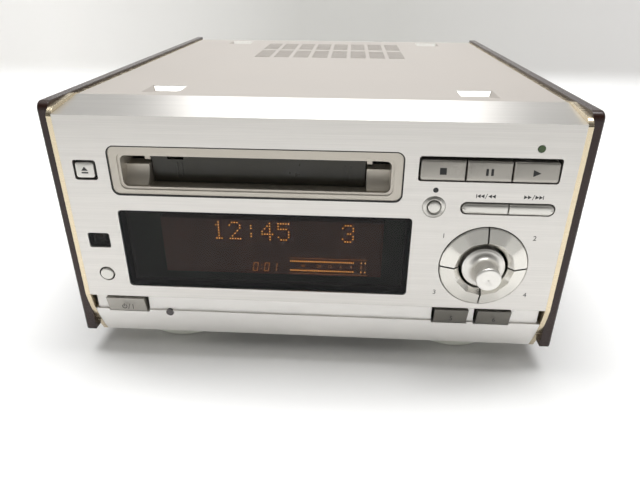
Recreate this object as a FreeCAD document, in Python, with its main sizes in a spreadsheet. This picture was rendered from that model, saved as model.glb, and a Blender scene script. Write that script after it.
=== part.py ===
import FreeCAD, Part
import math
import os

import Sketcher

# A minidisc deck: aluminium front, dark side panels with gold trim, a slot with a flap, a display, push
# buttons, a push-and-turn jog knob and a disc mechanism inside.
#
# Lengths are in millimetres. Sub-parts are drawn in the front panel's own frame: x to the right from the
# middle, y back from the flat face, z up from the lower edge of the face. Their Placement then stands the
# deck on the floor, with the origin below the middle of its whole box.

DIMENSIONS = {
    # overall
    "body_width": 190.0,
    "body_depth": 210.0,
    "side_thickness": 4.2,
    "trim_thickness": 1.8,
    "face_height": 71.8,
    "chamfer_depth": 20.0,
    "chamfer_rise": 2.9,
    "panel_thickness": 3.0,
    "sheet_steel": 1.0,
    "rear_recess": 4.8,
    # side panels and trim
    "side_front_setback": 2.2,
    "side_top_above_cover": 1.0,
    "side_bottom_drop": 18.3,
    "side_corner_radius": 3.0,
    "side_edge_radius": 1.0,
    "trim_crown": 0.9,
    "trim_corner_radius": 3.6,
    # lower fascia
    "fascia_drop": 22.0,
    "fascia_run": 8.2,
    "fascia_curve_radius": 69.0,
    "fascia_wall": 2.8,
    "band_recess": 2.7,
    "band_drop": 7.6,
    "band_end_gap": 1.2,
    # feet
    "foot_stand": 7.0,
    "front_foot_radius": 19.5,
    "rear_foot_radius": 10.0,
    "foot_inset": 35.0,
    "front_foot_back": 33.0,
    "rear_foot_inset": 15.2,
    "foot_edge_radius": 1.2,
    "pad_thickness": 1.6,
    "pad_stand": 0.4,
    "pad_border": 3.0,
    # cover
    "cover_step": 0.2,
    "dimple_length": 14.0,
    "dimple_depth": 1.8,
    "dimple_slope": 1.5,
    "vent_columns": 8,
    "vent_rows": 9,
    "vent_width": 8.4,
    "vent_slot": 1.3,
    "vent_pitch": 10.4,
    "vent_row_pitch": 3.2,
    "vent_front": 125.0,
    "vent_stack_gap": 34.0,
    # slot
    "bezel_inset": 17.1,
    "bezel_width": 102.8,
    "bezel_height": 17.5,
    "bezel_base": 43.5,
    "bezel_radius": 2.5,
    "bezel_depth": 12.0,
    "bezel_recess": 0.3,
    "bezel_gap": 0.35,
    "bezel_rim": 3.9,
    "bezel_sill": 2.8,
    "bezel_head": 3.3,
    "bezel_step": 1.0,
    "sill_drop": 0.9,
    "flap_width": 77.6,
    "flap_set_back": 8.0,
    "flap_thickness": 1.6,
    "flap_height": 9.0,
    "flap_gap": 0.4,
    "hinge_radius": 1.6,
    "hinge_pin_radius": 0.8,
    "hinge_lug_width": 2.0,
    "hinge_lug_wall": 0.2,
    "spring_offset": 6.0,
    "spring_width": 5.4,
    "block_share": 0.85,
    "block_setback": 2.0,
    "running_gap": 0.05,
    # display
    "window_inset": 17.2,
    "window_jog_gap": 11.3,
    "window_base": 5.0,
    "window_height": 32.1,
    "window_radius": 1.5,
    "window_gap": 0.15,
    "window_recess": 0.4,
    "window_ledge": 1.8,
    "tube_width": 84.0,
    "tube_height": 23.0,
    "tube_depth": 6.0,
    "tube_offset": 2.1,
    "tube_standoff": 0.5,
    "tube_foot_inset": 4.0,
    # infra-red window
    "ir_inset": 4.2,
    "ir_width": 8.2,
    "ir_base": 21.5,
    "ir_height": 6.0,
    "ir_radius": 0.8,
    # buttons
    "button_gap": 0.3,
    "button_travel": 0.8,
    "button_flange": 0.8,
    "button_edge": 0.35,
    "flange_thickness": 1.2,
    "stem_radius": 1.5,
    "transport_clearance": 5.8,
    "transport_inset": 5.9,
    "transport_split": 0.4,
    "transport_base": 51.9,
    "transport_height": 7.0,
    "transport_proud": 1.0,
    "transport_top_gap": 1.3,
    "transport_side_gap": 0.6,
    "eject_inset": 8.2,
    "eject_base": 49.45,
    "eject_width": 6.6,
    "eject_height": 5.6,
    "eject_radius": 1.0,
    "eject_proud": 0.5,
    "eject_surround": 0.85,
    "record_offset": 5.9,
    "record_z": 41.8,
    "record_radius": 2.2,
    "record_ring_radius": 3.95,
    "record_proud": 0.9,
    "ring_proud": 0.5,
    "skip_offset": 9.3,
    "skip_inset": 4.85,
    "skip_split_shift": 0.175,
    "skip_base": 39.5,
    "skip_height": 4.35,
    "skip_proud": 1.0,
    "input_inset": 8.8,
    "input_z": 10.0,
    "input_radius": 2.5,
    "input_hole_gap": 0.5,
    "input_proud": 0.6,
    "power_inset": 6.0,
    "power_width": 15.4,
    "lower_left_inset": 41.5,
    "lower_right_inset": 25.1,
    "lower_width": 12.8,
    "lower_top": -1.4,
    "lower_height": 7.0,
    "lower_gap": 0.9,
    # jog
    "jog_inset": 26.2,
    "jog_z": 18.5,
    "jog_radius": 15.9,
    "jog_ridge_radius": 11.0,
    "jog_inner_radius": 8.9,
    "jog_proud": 0.6,
    "jog_ridge_proud": 2.3,
    "jog_inner_proud": 0.7,
    "jog_split": 0.6,
    "knob_reach": 10.0,
    "knob_skirt_radius": 7.8,
    "knob_skirt_proud": 1.3,
    "knob_radius": 4.5,
    "knob_cap": 1.8,
    "knurl_length": 4.2,
    "knurl_depth": 0.25,
    "knurl_count": 40,
    "knob_dimple_radius": 2.3,
    "knob_dimple_depth": 0.35,
    "shaft_radius": 3.0,
    "encoder_width": 11.0,
    "encoder_depth": 6.0,
    "encoder_bush": 3.0,
    "encoder_bush_wall": 1.5,
    "knob_bore_start": 3.0,
    "knob_edge": 0.8,
    # lamps
    "play_lamp_inset": 13.3,
    "play_lamp_rise": 4.6,
    "play_lamp_radius": 1.2,
    "lamp_proud": 0.2,
    "standby_inset": 30.6,
    "standby_z": -8.6,
    "standby_radius": 1.5,
    "lamp_gap": 0.1,
    # inner front
    "subframe_thickness": 2.0,
    "subframe_margin": 3.0,
    "subframe_base": 1.0,
    "post_wall": 1.0,
    "slot_board_gap": 1.8,
    "board_drop": 11.0,
    "receiver_depth": 6.0,
    "receiver_inset": 1.6,
    "board_back": 16.0,
    "board_thickness": 1.6,
    "switch_width": 6.0,
    "switch_height": 4.0,
    # chassis and rear
    "floor_thickness": 1.2,
    "chassis_flange": 10.0,
    "board_leg_gap": 3.0,
    "main_board_inset": 5.0,
    "main_board_width": 118.0,
    "standoff_height": 7.8,
    "standoff_radius": 3.0,
    "standoff_inset": 4.0,
    "chip_height": 2.0,
    "small_cap_height": 12.0,
    "large_cap_height": 20.0,
    "heat_sink_height": 16.0,
    "transformer_front": 122.0,
    "transformer_inset": 47.0,
    "transformer_width": 40.0,
    "transformer_length": 48.0,
    "transformer_height": 42.0,
    "winding_overhang": 8.0,
    "winding_inset": 5.0,
    "core_ear": 3.0,
    "jack_radius": 4.15,
    "jack_reach": 8.3,
    "jack_bore_radius": 1.6,
    "jack_bore_depth": 8.0,
    "jack_inset": 15.0,
    "jack_pitch": 16.0,
    "jack_row_pitch": 16.0,
    "jack_base": 8.0,
    "jack_block_depth": 12.0,
    "jack_block_margin": 3.0,
    "optical_inset": 59.0,
    "optical_pitch": 16.0,
    "optical_size": 10.0,
    "optical_depth": 10.0,
    "optical_proud": 1.5,
    "inlet_inset": 27.0,
    "inlet_z": -4.0,
    "inlet_width": 18.0,
    "inlet_height": 9.4,
    "inlet_depth": 12.0,
    "inlet_pin_pitch": 8.6,
    "inlet_pin_radius": 1.15,
    "inlet_pin_recess": 2.0,
    "inlet_rim": 1.2,
    "inlet_proud": 1.0,
    "screw_head_radius": 2.9,
    "screw_head_height": 1.5,
    "screw_shank_radius": 1.4,
    "screw_length": 6.0,
    "screw_inset": 9.0,
    # disc mechanism
    "deck_front": 20.0,
    "deck_length": 110.0,
    "deck_half_width": 46.2,
    "deck_wall": 1.2,
    "deck_base": 26.0,
    "deck_height": 32.0,
    "leg_length": 12.0,
    "leg_toe": 8.0,
    "holder_base": 46.0,
    "holder_length": 72.0,
    "cartridge_width": 72.0,
    "cartridge_thickness": 5.0,
    "cartridge_play": 0.6,
    "holder_wall": 0.9,
    "holder_lip": 12.0,
    "holder_setback": 2.0,
    "holder_mouth": 10.0,
    "holder_drop": 5.0,
    "slide_travel": 12.0,
    "slide_wall": 1.4,
    "slide_gap": 0.3,
    "slide_front": 4.0,
    "slide_web": 8.0,
    "slide_rim": 3.0,
    "pin_reach": 0.5,
    "pin_radius": 1.0,
    "pin_front": 18.0,
    "pin_spacing": 45.0,
    "gear_module": 1.0,
    "gear_teeth": 20,
    "pinion_teeth": 10,
    "gear_thickness": 2.0,
    "gear_lift": 1.0,
    "rack_teeth": 6,
    "tooth_rise": 0.7,
    "tooth_root": 1.3,
    "gear_x": 29.6,
    "gear_back": 20.0,
    "gear_post_radius": 1.5,
    "tooth_share": 0.4,
    "motor_shaft_radius": 1.0,
    "motor_shaft_depth": 3.0,
    "loading_motor_radius": 7.5,
    "loading_motor_height": 12.0,
    "disc_back": 40.0,
    "spindle_radius": 12.0,
    "spindle_height": 6.5,
    "turntable_radius": 8.0,
    "turntable_top": 41.4,
    "turntable_rim": 1.0,
    "sled_width": 40.0,
    "sled_length": 11.5,
    "sled_back": 52.5,
    "sled_travel": 16.0,
    "lens_top": 41.0,
    "lens_radius": 4.0,
    "sled_half_height": 4.0,
    "nut_setback": 3.0,
    "nut_length": 4.0,
    "nut_wall": 2.0,
    "rod_radius": 1.5,
    "rod_spread": 32.0,
    "rod_height": 33.0,
    "rod_front": 45.0,
    "rod_spare": 12.0,
    "post_width": 5.0,
    "post_length": 3.0,
    "screw_x": 24.5,
    "sled_motor_radius": 5.5,
    "sled_motor_length": 12.0,
    "sled_motor_foot": 4.0,
    "screw_entry": 3.0,
}

DOC = FreeCAD.newDocument("minidisc_deck")
SHEET = DOC.addObject("Spreadsheet::Sheet", "dims")
for row, (alias, number) in enumerate(DIMENSIONS.items(), start=1):
    SHEET.set(f"A{row}", alias)
    SHEET.set(f"B{row}", str(number))
    SHEET.setAlias(f"B{row}", alias)
DOC.recompute()


class Size:
    """A length that knows its value and the sheet expression that gives it."""

    def __init__(self, text, value):
        self.text = text
        self.value = float(value)

    @staticmethod
    def of(other):
        if isinstance(other, Size):
            return other
        return Size(f"({other})" if other < 0 else str(other), other)

    def __add__(self, other):
        other = Size.of(other)
        return Size(f"({self.text} + {other.text})", self.value + other.value)

    def __sub__(self, other):
        other = Size.of(other)
        return Size(f"({self.text} - {other.text})", self.value - other.value)

    def __mul__(self, other):
        other = Size.of(other)
        return Size(f"({self.text} * {other.text})", self.value * other.value)

    def __truediv__(self, other):
        other = Size.of(other)
        return Size(f"({self.text} / {other.text})", self.value / other.value)

    def __radd__(self, other):
        return Size.of(other) + self

    def __rsub__(self, other):
        return Size.of(other) - self

    def __rmul__(self, other):
        return Size.of(other) * self

    def __neg__(self):
        return Size(f"(0 - {self.text})", -self.value)

    def root(self):
        return Size(f"sqrt({self.text})", math.sqrt(self.value))


class Dims:
    """The driving dimensions, read from the sheet by name."""

    def __getattr__(self, alias):
        return Size(f"dims.{alias}", SHEET.get(alias))


d = Dims()
ZERO = Size.of(0)

# places that several sub-parts share
FACE_HALF = d.body_width / 2 - d.side_thickness - d.trim_thickness
TRIM_HALF = d.body_width / 2 - d.side_thickness
CHAMFER_TOP = d.face_height + d.chamfer_rise
COVER_TOP = CHAMFER_TOP - d.cover_step
REAR_FACE = d.body_depth - d.rear_recess
REAR_INNER = REAR_FACE - d.floor_thickness
UNDERSIDE = -d.fascia_drop
FLOOR_TOP = UNDERSIDE + d.floor_thickness
SUBFRAME_FRONT = d.panel_thickness
SUBFRAME_BACK = d.panel_thickness + d.subframe_thickness
FASCIA_BACK = d.fascia_run + d.fascia_wall
STEM_END = d.board_back - d.switch_height - d.button_travel - d.button_gap
BEZEL_LEFT = d.bezel_inset - FACE_HALF
BEZEL_RIGHT = BEZEL_LEFT + d.bezel_width
SLOT_MIDDLE = BEZEL_LEFT + d.bezel_width / 2
BEZEL_TOP = d.bezel_base + d.bezel_height
RECESS_LEFT = BEZEL_LEFT + d.bezel_rim
RECESS_RIGHT = BEZEL_RIGHT - d.bezel_rim
RECESS_TOP = BEZEL_TOP - d.bezel_head
SILL = d.bezel_base + d.bezel_sill - d.sill_drop
FLAP_LEFT = SLOT_MIDDLE - d.flap_width / 2
FLAP_RIGHT = SLOT_MIDDLE + d.flap_width / 2
HINGE_BACK = d.flap_set_back + d.hinge_radius
HINGE_HEIGHT = SILL + d.flap_gap + d.flap_height + d.hinge_radius * 0.75
TRANSPORT_LEFT = BEZEL_RIGHT + d.transport_clearance
TRANSPORT_RIGHT = FACE_HALF - d.transport_inset
TRANSPORT_WIDTH = (TRANSPORT_RIGHT - TRANSPORT_LEFT - 2 * d.transport_split) / 3
JOG_X = FACE_HALF - d.jog_inset
WINDOW_LEFT = d.window_inset - FACE_HALF
WINDOW_RIGHT = JOG_X - d.jog_radius - d.window_jog_gap
IR_LEFT = d.ir_inset - FACE_HALF
EJECT_MIDDLE = d.eject_inset - FACE_HALF
RECORD_X = TRANSPORT_LEFT + d.record_offset
SKIP_LEFT = RECORD_X + d.skip_offset
SKIP_RIGHT = FACE_HALF - d.skip_inset
SKIP_SPLIT = (SKIP_LEFT + SKIP_RIGHT) / 2 + d.skip_split_shift
INPUT_X = d.input_inset - FACE_HALF
POWER_LEFT = d.power_inset - FACE_HALF
LOWER_LEFTS = (FACE_HALF - d.lower_left_inset, FACE_HALF - d.lower_right_inset)
PLAY_LAMP_X = FACE_HALF - d.play_lamp_inset
PLAY_LAMP_Z = d.transport_base + d.transport_height + d.play_lamp_rise
STANDBY_X = d.standby_inset - FACE_HALF
MAIN_BOARD_LEFT = d.main_board_inset - FACE_HALF
FOOT_X = d.body_width / 2 - d.foot_inset
REAR_FOOT_BACK = REAR_FACE - d.rear_foot_inset
DECK_TOP = d.deck_base + d.deck_height
DECK_FLOOR = d.deck_base + d.deck_wall
DISC_BACK = d.deck_front + d.disc_back
ROD_BACK = d.deck_front + d.sled_back + d.sled_length + d.sled_travel + d.rod_spare
HOLDER_FRONT = d.deck_front + d.holder_setback
PIN_PLACES = (HOLDER_FRONT + d.pin_front, HOLDER_FRONT + d.pin_front + d.pin_spacing)
BOARD_FRONT = d.deck_front + d.leg_length + d.board_leg_gap
BOARD_END = d.deck_front + d.deck_length - d.leg_length - d.board_leg_gap
HOLDER_HALF = d.cartridge_width / 2 + d.cartridge_play + d.holder_wall
HOLDER_HEIGHT = d.cartridge_thickness + d.cartridge_play + 2 * d.holder_wall
SLIDE_OUTER = d.deck_half_width - d.deck_wall - d.slide_gap
SLIDE_INNER = SLIDE_OUTER - d.slide_wall
SLIDE_BASE = DECK_FLOOR + d.slide_gap
PIN_HEIGHT = d.holder_base + HOLDER_HEIGHT / 2
GEAR_RADIUS = d.gear_module * d.gear_teeth / 2
PINION_RADIUS = d.gear_module * d.pinion_teeth / 2
GEAR_BACK = d.deck_front + d.gear_back
GEAR_BASE = DECK_FLOOR + d.gear_lift
MOTOR_X = d.gear_x - GEAR_RADIUS - PINION_RADIUS
SHIFT_Y = (d.knob_reach - REAR_FACE - d.jack_reach) / 2
SHIFT_Z = d.fascia_drop + d.foot_stand

PLANES = {"x": "YZ_Plane", "y": "XZ_Plane", "z": "XY_Plane"}
SUBPARTS = []


def bind(item, target, size):
    """Tie one property of an object to the sheet."""
    item.setExpression(target, Size.of(size).text)


def hold(sketch, geometry, point, place):
    """Fix one point of a sketch at its place from the sketch's origin."""
    for kind, size in zip(("DistanceX", "DistanceY"), place):
        size = Size.of(size)
        index = sketch.addConstraint(Sketcher.Constraint(kind, -1, 1, geometry, point, size.value))
        bind(sketch, f"Constraints[{index}]", size)


def flat(place):
    return FreeCAD.Vector(Size.of(place[0]).value, Size.of(place[1]).value, 0)


def path(points):
    """A closed outline. A point may carry the radius of the arc that leaves it, minus for clockwise."""
    def draw(sketch):
        spots = [(point[0], point[1]) for point in points]
        radii = [point[2] if len(point) > 2 else None for point in points]
        ends = []
        for index, radius in enumerate(radii):
            start, end = flat(spots[index]), flat(spots[(index + 1) % len(spots)])
            if radius is None:
                geometry = sketch.addGeometry(Part.LineSegment(start, end), False)
                ends.append((geometry, 1, 2))
                continue
            size = abs(radius.value)
            left = FreeCAD.Vector(start.y - end.y, end.x - start.x, 0).normalize()
            rise = math.sqrt(max(size * size - (end - start).Length ** 2 / 4, 0))
            turn = 1 if radius.value > 0 else -1
            centre = (start + end) / 2 + left * rise * turn
            first, last = (start, end) if turn > 0 else (end, start)
            angle = math.atan2(first.y - centre.y, first.x - centre.x)
            stop = math.atan2(last.y - centre.y, last.x - centre.x)
            if stop < angle:
                stop += 2 * math.pi
            circle = Part.Circle(centre, FreeCAD.Vector(0, 0, 1), size)
            geometry = sketch.addGeometry(Part.ArcOfCircle(circle, angle, stop), False)
            index = sketch.addConstraint(Sketcher.Constraint("Radius", geometry, size))
            bind(sketch, f"Constraints[{index}]", radius if turn > 0 else -radius)
            ends.append((geometry, 1, 2) if turn > 0 else (geometry, 2, 1))
        for index, (geometry, start, end) in enumerate(ends):
            following = ends[(index + 1) % len(ends)]
            sketch.addConstraint(Sketcher.Constraint("Coincident", geometry, end, following[0], following[1]))
            hold(sketch, geometry, start, spots[index])
    return draw


def rect(left, right, low, high, radius=None):
    """A rectangle, with round corners where a radius is given."""
    left, right, low, high = (Size.of(side) for side in (left, right, low, high))
    if radius is None:
        return path([(left, low), (right, low), (right, high), (left, high)])
    return path([
        (left + radius, low), (right - radius, low, radius),
        (right, low + radius), (right, high - radius, radius),
        (right - radius, high), (left + radius, high, radius),
        (left, high - radius), (left, low + radius, radius),
    ])


def disc(x, z, radius):
    """A circle."""
    def draw(sketch):
        circle = Part.Circle(flat((x, z)), FreeCAD.Vector(0, 0, 1), radius.value)
        geometry = sketch.addGeometry(circle, False)
        index = sketch.addConstraint(Sketcher.Constraint("Radius", geometry, radius.value))
        bind(sketch, f"Constraints[{index}]", radius)
        hold(sketch, geometry, 3, (x, z))
    return draw


class Piece:
    """A sub-part: a body of pads, pockets and revolutions on sketches of its own."""

    def __init__(self, label, at=(ZERO, ZERO, ZERO)):
        self.label = label
        self.body = DOC.addObject("PartDesign::Body", label)
        self.body.Label = label
        self.body.AllowCompound = True
        self.steps = 0
        bind(self.body, "Placement.Base.x", at[0])
        bind(self.body, "Placement.Base.y", at[1] + SHIFT_Y)
        bind(self.body, "Placement.Base.z", at[2] + SHIFT_Z)
        SUBPARTS.append(self.body)

    def sketch(self, axis, level, outlines):
        """Draw outlines on the plane square to an axis at a level."""
        self.steps += 1
        sketch = self.body.newObject("Sketcher::SketchObject", f"{self.label}_sketch_{self.steps}")
        plane = [item for item in self.body.Origin.OriginFeatures if item.Role == PLANES[axis]][0]
        sketch.AttachmentSupport = (plane, [""])
        sketch.MapMode = "FlatFace"
        level = Size.of(level)
        bind(sketch, "AttachmentOffset.Base.z", -level if axis == "y" else level)
        for outline in outlines:
            outline(sketch)
        return sketch

    def feature(self, kind, sketch):
        feature = self.body.newObject(f"PartDesign::{kind}", f"{self.label}_{kind.lower()}_{self.steps}")
        feature.Profile = sketch
        sketch.Visibility = False
        return feature

    def add(self, axis, start, end, *outlines, taper=None):
        """Pad outlines from one level to a further one."""
        pad = self.feature("Pad", self.sketch(axis, start, outlines))
        bind(pad, "Length", Size.of(end) - start)
        pad.Reversed = axis == "y"
        if taper is not None:
            pad.TaperAngle = taper
        DOC.recompute()
        return self

    def cut(self, axis, start, end, *outlines):
        """Pocket outlines from one level to a further one."""
        before = self.body.Shape.Volume
        pocket = self.feature("Pocket", self.sketch(axis, start, outlines))
        bind(pocket, "Length", Size.of(end) - start)
        pocket.Reversed = axis != "y"
        DOC.recompute()
        if self.body.Shape.Volume >= before:
            raise ValueError(f"{self.label}: pocket {self.steps} cut nothing")
        self.last = pocket
        return self

    def turn(self, points, axis="y", groove=False):
        """Revolve a profile of (radius, place along the axis) about the body's own axis."""
        plane = "z" if axis == "y" else "y"
        sketch = self.sketch(plane, ZERO, [path(points)])
        feature = self.feature("Groove" if groove else "Revolution", sketch)
        feature.ReferenceAxis = (sketch, ["V_Axis"])
        feature.Angle = 360
        DOC.recompute()
        return self

    def repeat_around(self, feature, count, axis="y"):
        """Copy a feature round the body's own axis."""
        pattern = self.body.newObject("PartDesign::PolarPattern", f"{self.label}_pattern_{self.steps}")
        pattern.Originals = [feature]
        line = [item for item in self.body.Origin.OriginFeatures if item.Role == f"{axis.upper()}_Axis"][0]
        pattern.Axis = (line, [""])
        pattern.Angle = 360
        bind(pattern, "Occurrences", count)
        self.body.Tip = pattern
        DOC.recompute()
        return self

    def repeat_along(self, feature, axis, pitch, count):
        """Copy a feature along one of the body's own axes."""
        pattern = self.body.newObject("PartDesign::LinearPattern", f"{self.label}_row_{self.steps}")
        pattern.Originals = [feature]
        line = [item for item in self.body.Origin.OriginFeatures if item.Role == f"{axis.upper()}_Axis"][0]
        pattern.Direction = (line, [""])
        bind(pattern, "Length", pitch * (count - 1))
        bind(pattern, "Occurrences", count)
        self.body.Tip = pattern
        DOC.recompute()
        return self

    def soften(self, radius, chosen):
        """Round the edges that a test on their boxes chooses."""
        base = self.body.Tip
        names = [
            f"Edge{index}"
            for index, edge in enumerate(base.Shape.Edges, start=1)
            if chosen(edge.BoundBox)
        ]
        fillet = self.body.newObject("PartDesign::Fillet", f"{self.label}_fillet_{self.steps}")
        fillet.Base = (base, names)
        bind(fillet, "Radius", radius)
        DOC.recompute()
        return self


def near(first, second):
    return abs(first - Size.of(second).value) < 0.01


def curve_back(z):
    """How far back the convex lower curve lies at a height below the face's lower edge."""
    half = (d.fascia_run * d.fascia_run + d.fascia_drop * d.fascia_drop).root() / 2
    reach = (d.fascia_curve_radius * d.fascia_curve_radius - half * half).root()
    middle_y = d.fascia_run / 2 + reach * d.fascia_drop / (half * 2)
    middle_z = reach * d.fascia_run / (half * 2) - d.fascia_drop / 2
    drop = Size.of(z) - middle_z
    return middle_y - (d.fascia_curve_radius * d.fascia_curve_radius - drop * drop).root()


def make_front_panel():
    """The aluminium plate: flat face, shallow chamfer above it, and the openings."""
    wall = d.panel_thickness
    panel = Piece("front_panel")
    panel.add("x", -FACE_HALF, FACE_HALF, path([
        (ZERO, ZERO), (wall, ZERO), (wall, d.face_height - wall),
        (d.chamfer_depth, CHAMFER_TOP - wall * 0.75), (d.chamfer_depth, CHAMFER_TOP), (ZERO, d.face_height),
    ]))
    gap = d.bezel_gap
    panel.cut("y", ZERO, wall, rect(BEZEL_LEFT - gap, BEZEL_RIGHT + gap, d.bezel_base - gap,
                                    BEZEL_TOP + gap, d.bezel_radius + gap))
    panel.cut("y", ZERO, wall, rect(WINDOW_LEFT, WINDOW_RIGHT, d.window_base,
                                    d.window_base + d.window_height, d.window_radius))
    around = d.eject_surround
    panel.cut("y", ZERO, wall, rect(EJECT_MIDDLE - d.eject_width / 2 - around,
                                    EJECT_MIDDLE + d.eject_width / 2 + around, d.eject_base - around,
                                    d.eject_base + d.eject_height + around, d.eject_radius))
    panel.cut("y", ZERO, wall, rect(IR_LEFT, IR_LEFT + d.ir_width, d.ir_base, d.ir_base + d.ir_height,
                                    d.ir_radius))
    side = d.transport_side_gap
    panel.cut("y", ZERO, wall, rect(TRANSPORT_LEFT - side, TRANSPORT_RIGHT + side, d.transport_base - side,
                                    d.transport_base + d.transport_height + d.transport_top_gap,
                                    d.eject_radius))
    gap = d.button_gap / 2
    panel.cut("y", ZERO, wall, rect(SKIP_LEFT - gap, SKIP_RIGHT + gap, d.skip_base - gap,
                                    d.skip_base + d.skip_height + gap, d.skip_height / 2))
    panel.cut("y", ZERO, wall,
              disc(JOG_X, d.jog_z, d.jog_radius + d.button_gap),
              disc(RECORD_X, d.record_z, d.record_ring_radius + d.lamp_gap),
              disc(INPUT_X, d.input_z, d.input_radius + d.input_hole_gap),
              disc(PLAY_LAMP_X, PLAY_LAMP_Z, d.play_lamp_radius + d.lamp_gap))


def make_lower_fascia():
    """The set-back band under the face and the convex curve below it, with openings for three buttons."""
    band = -d.band_drop
    inner = curve_back(band) + d.fascia_wall
    fascia = Piece("lower_fascia")
    fascia.add("x", -FACE_HALF + d.lamp_gap, FACE_HALF - d.lamp_gap, path([
        (curve_back(band), band, d.fascia_curve_radius), (d.fascia_run, UNDERSIDE), (FASCIA_BACK, UNDERSIDE),
        (FASCIA_BACK, UNDERSIDE + d.floor_thickness), (inner, band),
    ]))
    fascia.add("x", -FACE_HALF + d.band_end_gap, FACE_HALF - d.band_end_gap, path([
        (d.band_recess, band - 1), (inner, band - 1), (inner, ZERO), (d.band_recess, ZERO),
    ]))
    top, bottom = d.lower_top + d.lower_gap, d.lower_top - d.lower_height - d.button_gap
    thin, wide = d.button_gap, d.lower_gap
    power_right = POWER_LEFT + d.power_width
    fascia.cut("y", ZERO, FASCIA_BACK,
               rect(POWER_LEFT - thin, power_right + wide, bottom, top),
               *[rect(left - wide, left + d.lower_width + thin, bottom, top) for left in LOWER_LEFTS],
               disc(STANDBY_X, d.standby_z, d.standby_radius + d.lamp_gap))


def make_side_panels():
    """The dark outer panels, round at the front corners and along their outer edges."""
    for name, side in (("left", -1), ("right", 1)):
        top = COVER_TOP + d.side_top_above_cover
        corner = d.side_corner_radius
        panel = Piece(f"side_panel_{name}")
        start, end = (-d.body_width / 2, -TRIM_HALF) if side < 0 else (TRIM_HALF, d.body_width / 2)
        panel.add("x", start, end, path([
            (d.side_front_setback, -d.side_bottom_drop), (d.body_depth, -d.side_bottom_drop),
            (d.body_depth, top), (d.side_front_setback + corner, top, corner),
            (d.side_front_setback, top - corner),
        ]))
        outer = d.body_width / 2 * side
        panel.soften(d.side_edge_radius, lambda box: near(box.XMin, outer) and near(box.XMax, outer))


def make_trim_plates():
    """The gold plates between the front panel and the side panels."""
    crown = COVER_TOP + d.trim_crown
    corner = d.trim_corner_radius
    for name, start, end in (("left", -TRIM_HALF, -FACE_HALF), ("right", FACE_HALF, TRIM_HALF)):
        plate = Piece(f"trim_plate_{name}")
        plate.add("x", start, end, path([
            (ZERO, ZERO, d.fascia_curve_radius), (d.fascia_run, UNDERSIDE), (REAR_FACE, UNDERSIDE),
            (REAR_FACE, COVER_TOP), (d.chamfer_depth + 3, COVER_TOP), (d.chamfer_depth - 2, crown),
            (corner, d.face_height + corner * 0.6, corner * 1.3), (ZERO, d.face_height - corner * 0.2),
        ]))


def make_top_cover():
    """The steel cover: a top with four dimples and stacks of vent slots, and two sides."""
    sheet = d.sheet_steel
    under = COVER_TOP - sheet
    front, back = d.chamfer_depth, REAR_INNER
    cover = Piece("top_cover")
    cover.add("z", under, COVER_TOP, rect(-FACE_HALF, FACE_HALF, front, back))
    for left, right in ((-FACE_HALF, sheet - FACE_HALF), (FACE_HALF - sheet, FACE_HALF)):
        cover.add("z", FLOOR_TOP, under, rect(left, right, front, back))
    half = d.dimple_length / 2
    spots = [(x, y) for x in (-FOOT_X, FOOT_X) for y in (d.front_foot_back, REAR_FOOT_BACK)]
    wall = half + sheet
    cover.add("z", under - d.dimple_depth, under,
              *[rect(x - wall, x + wall, y - wall, y + wall) for x, y in spots])
    floor = half - d.dimple_slope
    cover.cut("z", COVER_TOP - d.dimple_depth, COVER_TOP,
              *[rect(x - floor, x + floor, y - floor, y + floor) for x, y in spots])
    cover.last.setExpression("TaperAngle", "atan(dims.dimple_slope / dims.dimple_depth)")
    DOC.recompute()
    outlines = []
    for stack in range(2):
        y = d.vent_front + d.vent_stack_gap * stack
        for column in range(int(d.vent_columns.value)):
            x = d.vent_pitch * (column - (d.vent_columns - 1) / 2)
            outlines.append(rect(x - d.vent_width / 2, x + d.vent_width / 2, y, y + d.vent_slot))
    cover.cut("z", under, COVER_TOP, *outlines)
    cover.repeat_along(cover.last, "y", d.vent_row_pitch, d.vent_rows)


def make_feet():
    """Two large feet in front and two smaller ones behind, each with a soft pad let in below."""
    corners = []
    for x in (-FOOT_X, FOOT_X):
        corners.append((x, d.front_foot_back, d.front_foot_radius))
        corners.append((x, REAR_FOOT_BACK, d.rear_foot_radius))
    floor = UNDERSIDE - d.foot_stand
    feet = Piece("feet")
    feet.add("z", floor + d.pad_stand, UNDERSIDE, *[disc(x, y, radius) for x, y, radius in corners])
    feet.soften(d.foot_edge_radius, lambda box: near(box.ZMin, floor + d.pad_stand) and box.ZLength < 0.01)
    feet.cut("z", floor + d.pad_stand, floor + d.pad_thickness,
             *[disc(x, y, radius - d.pad_border) for x, y, radius in corners])
    pads = Piece("foot_pads")
    pads.add("z", floor, floor + d.pad_thickness,
             *[disc(x, y, radius - d.pad_border - d.lamp_gap) for x, y, radius in corners])


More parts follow.
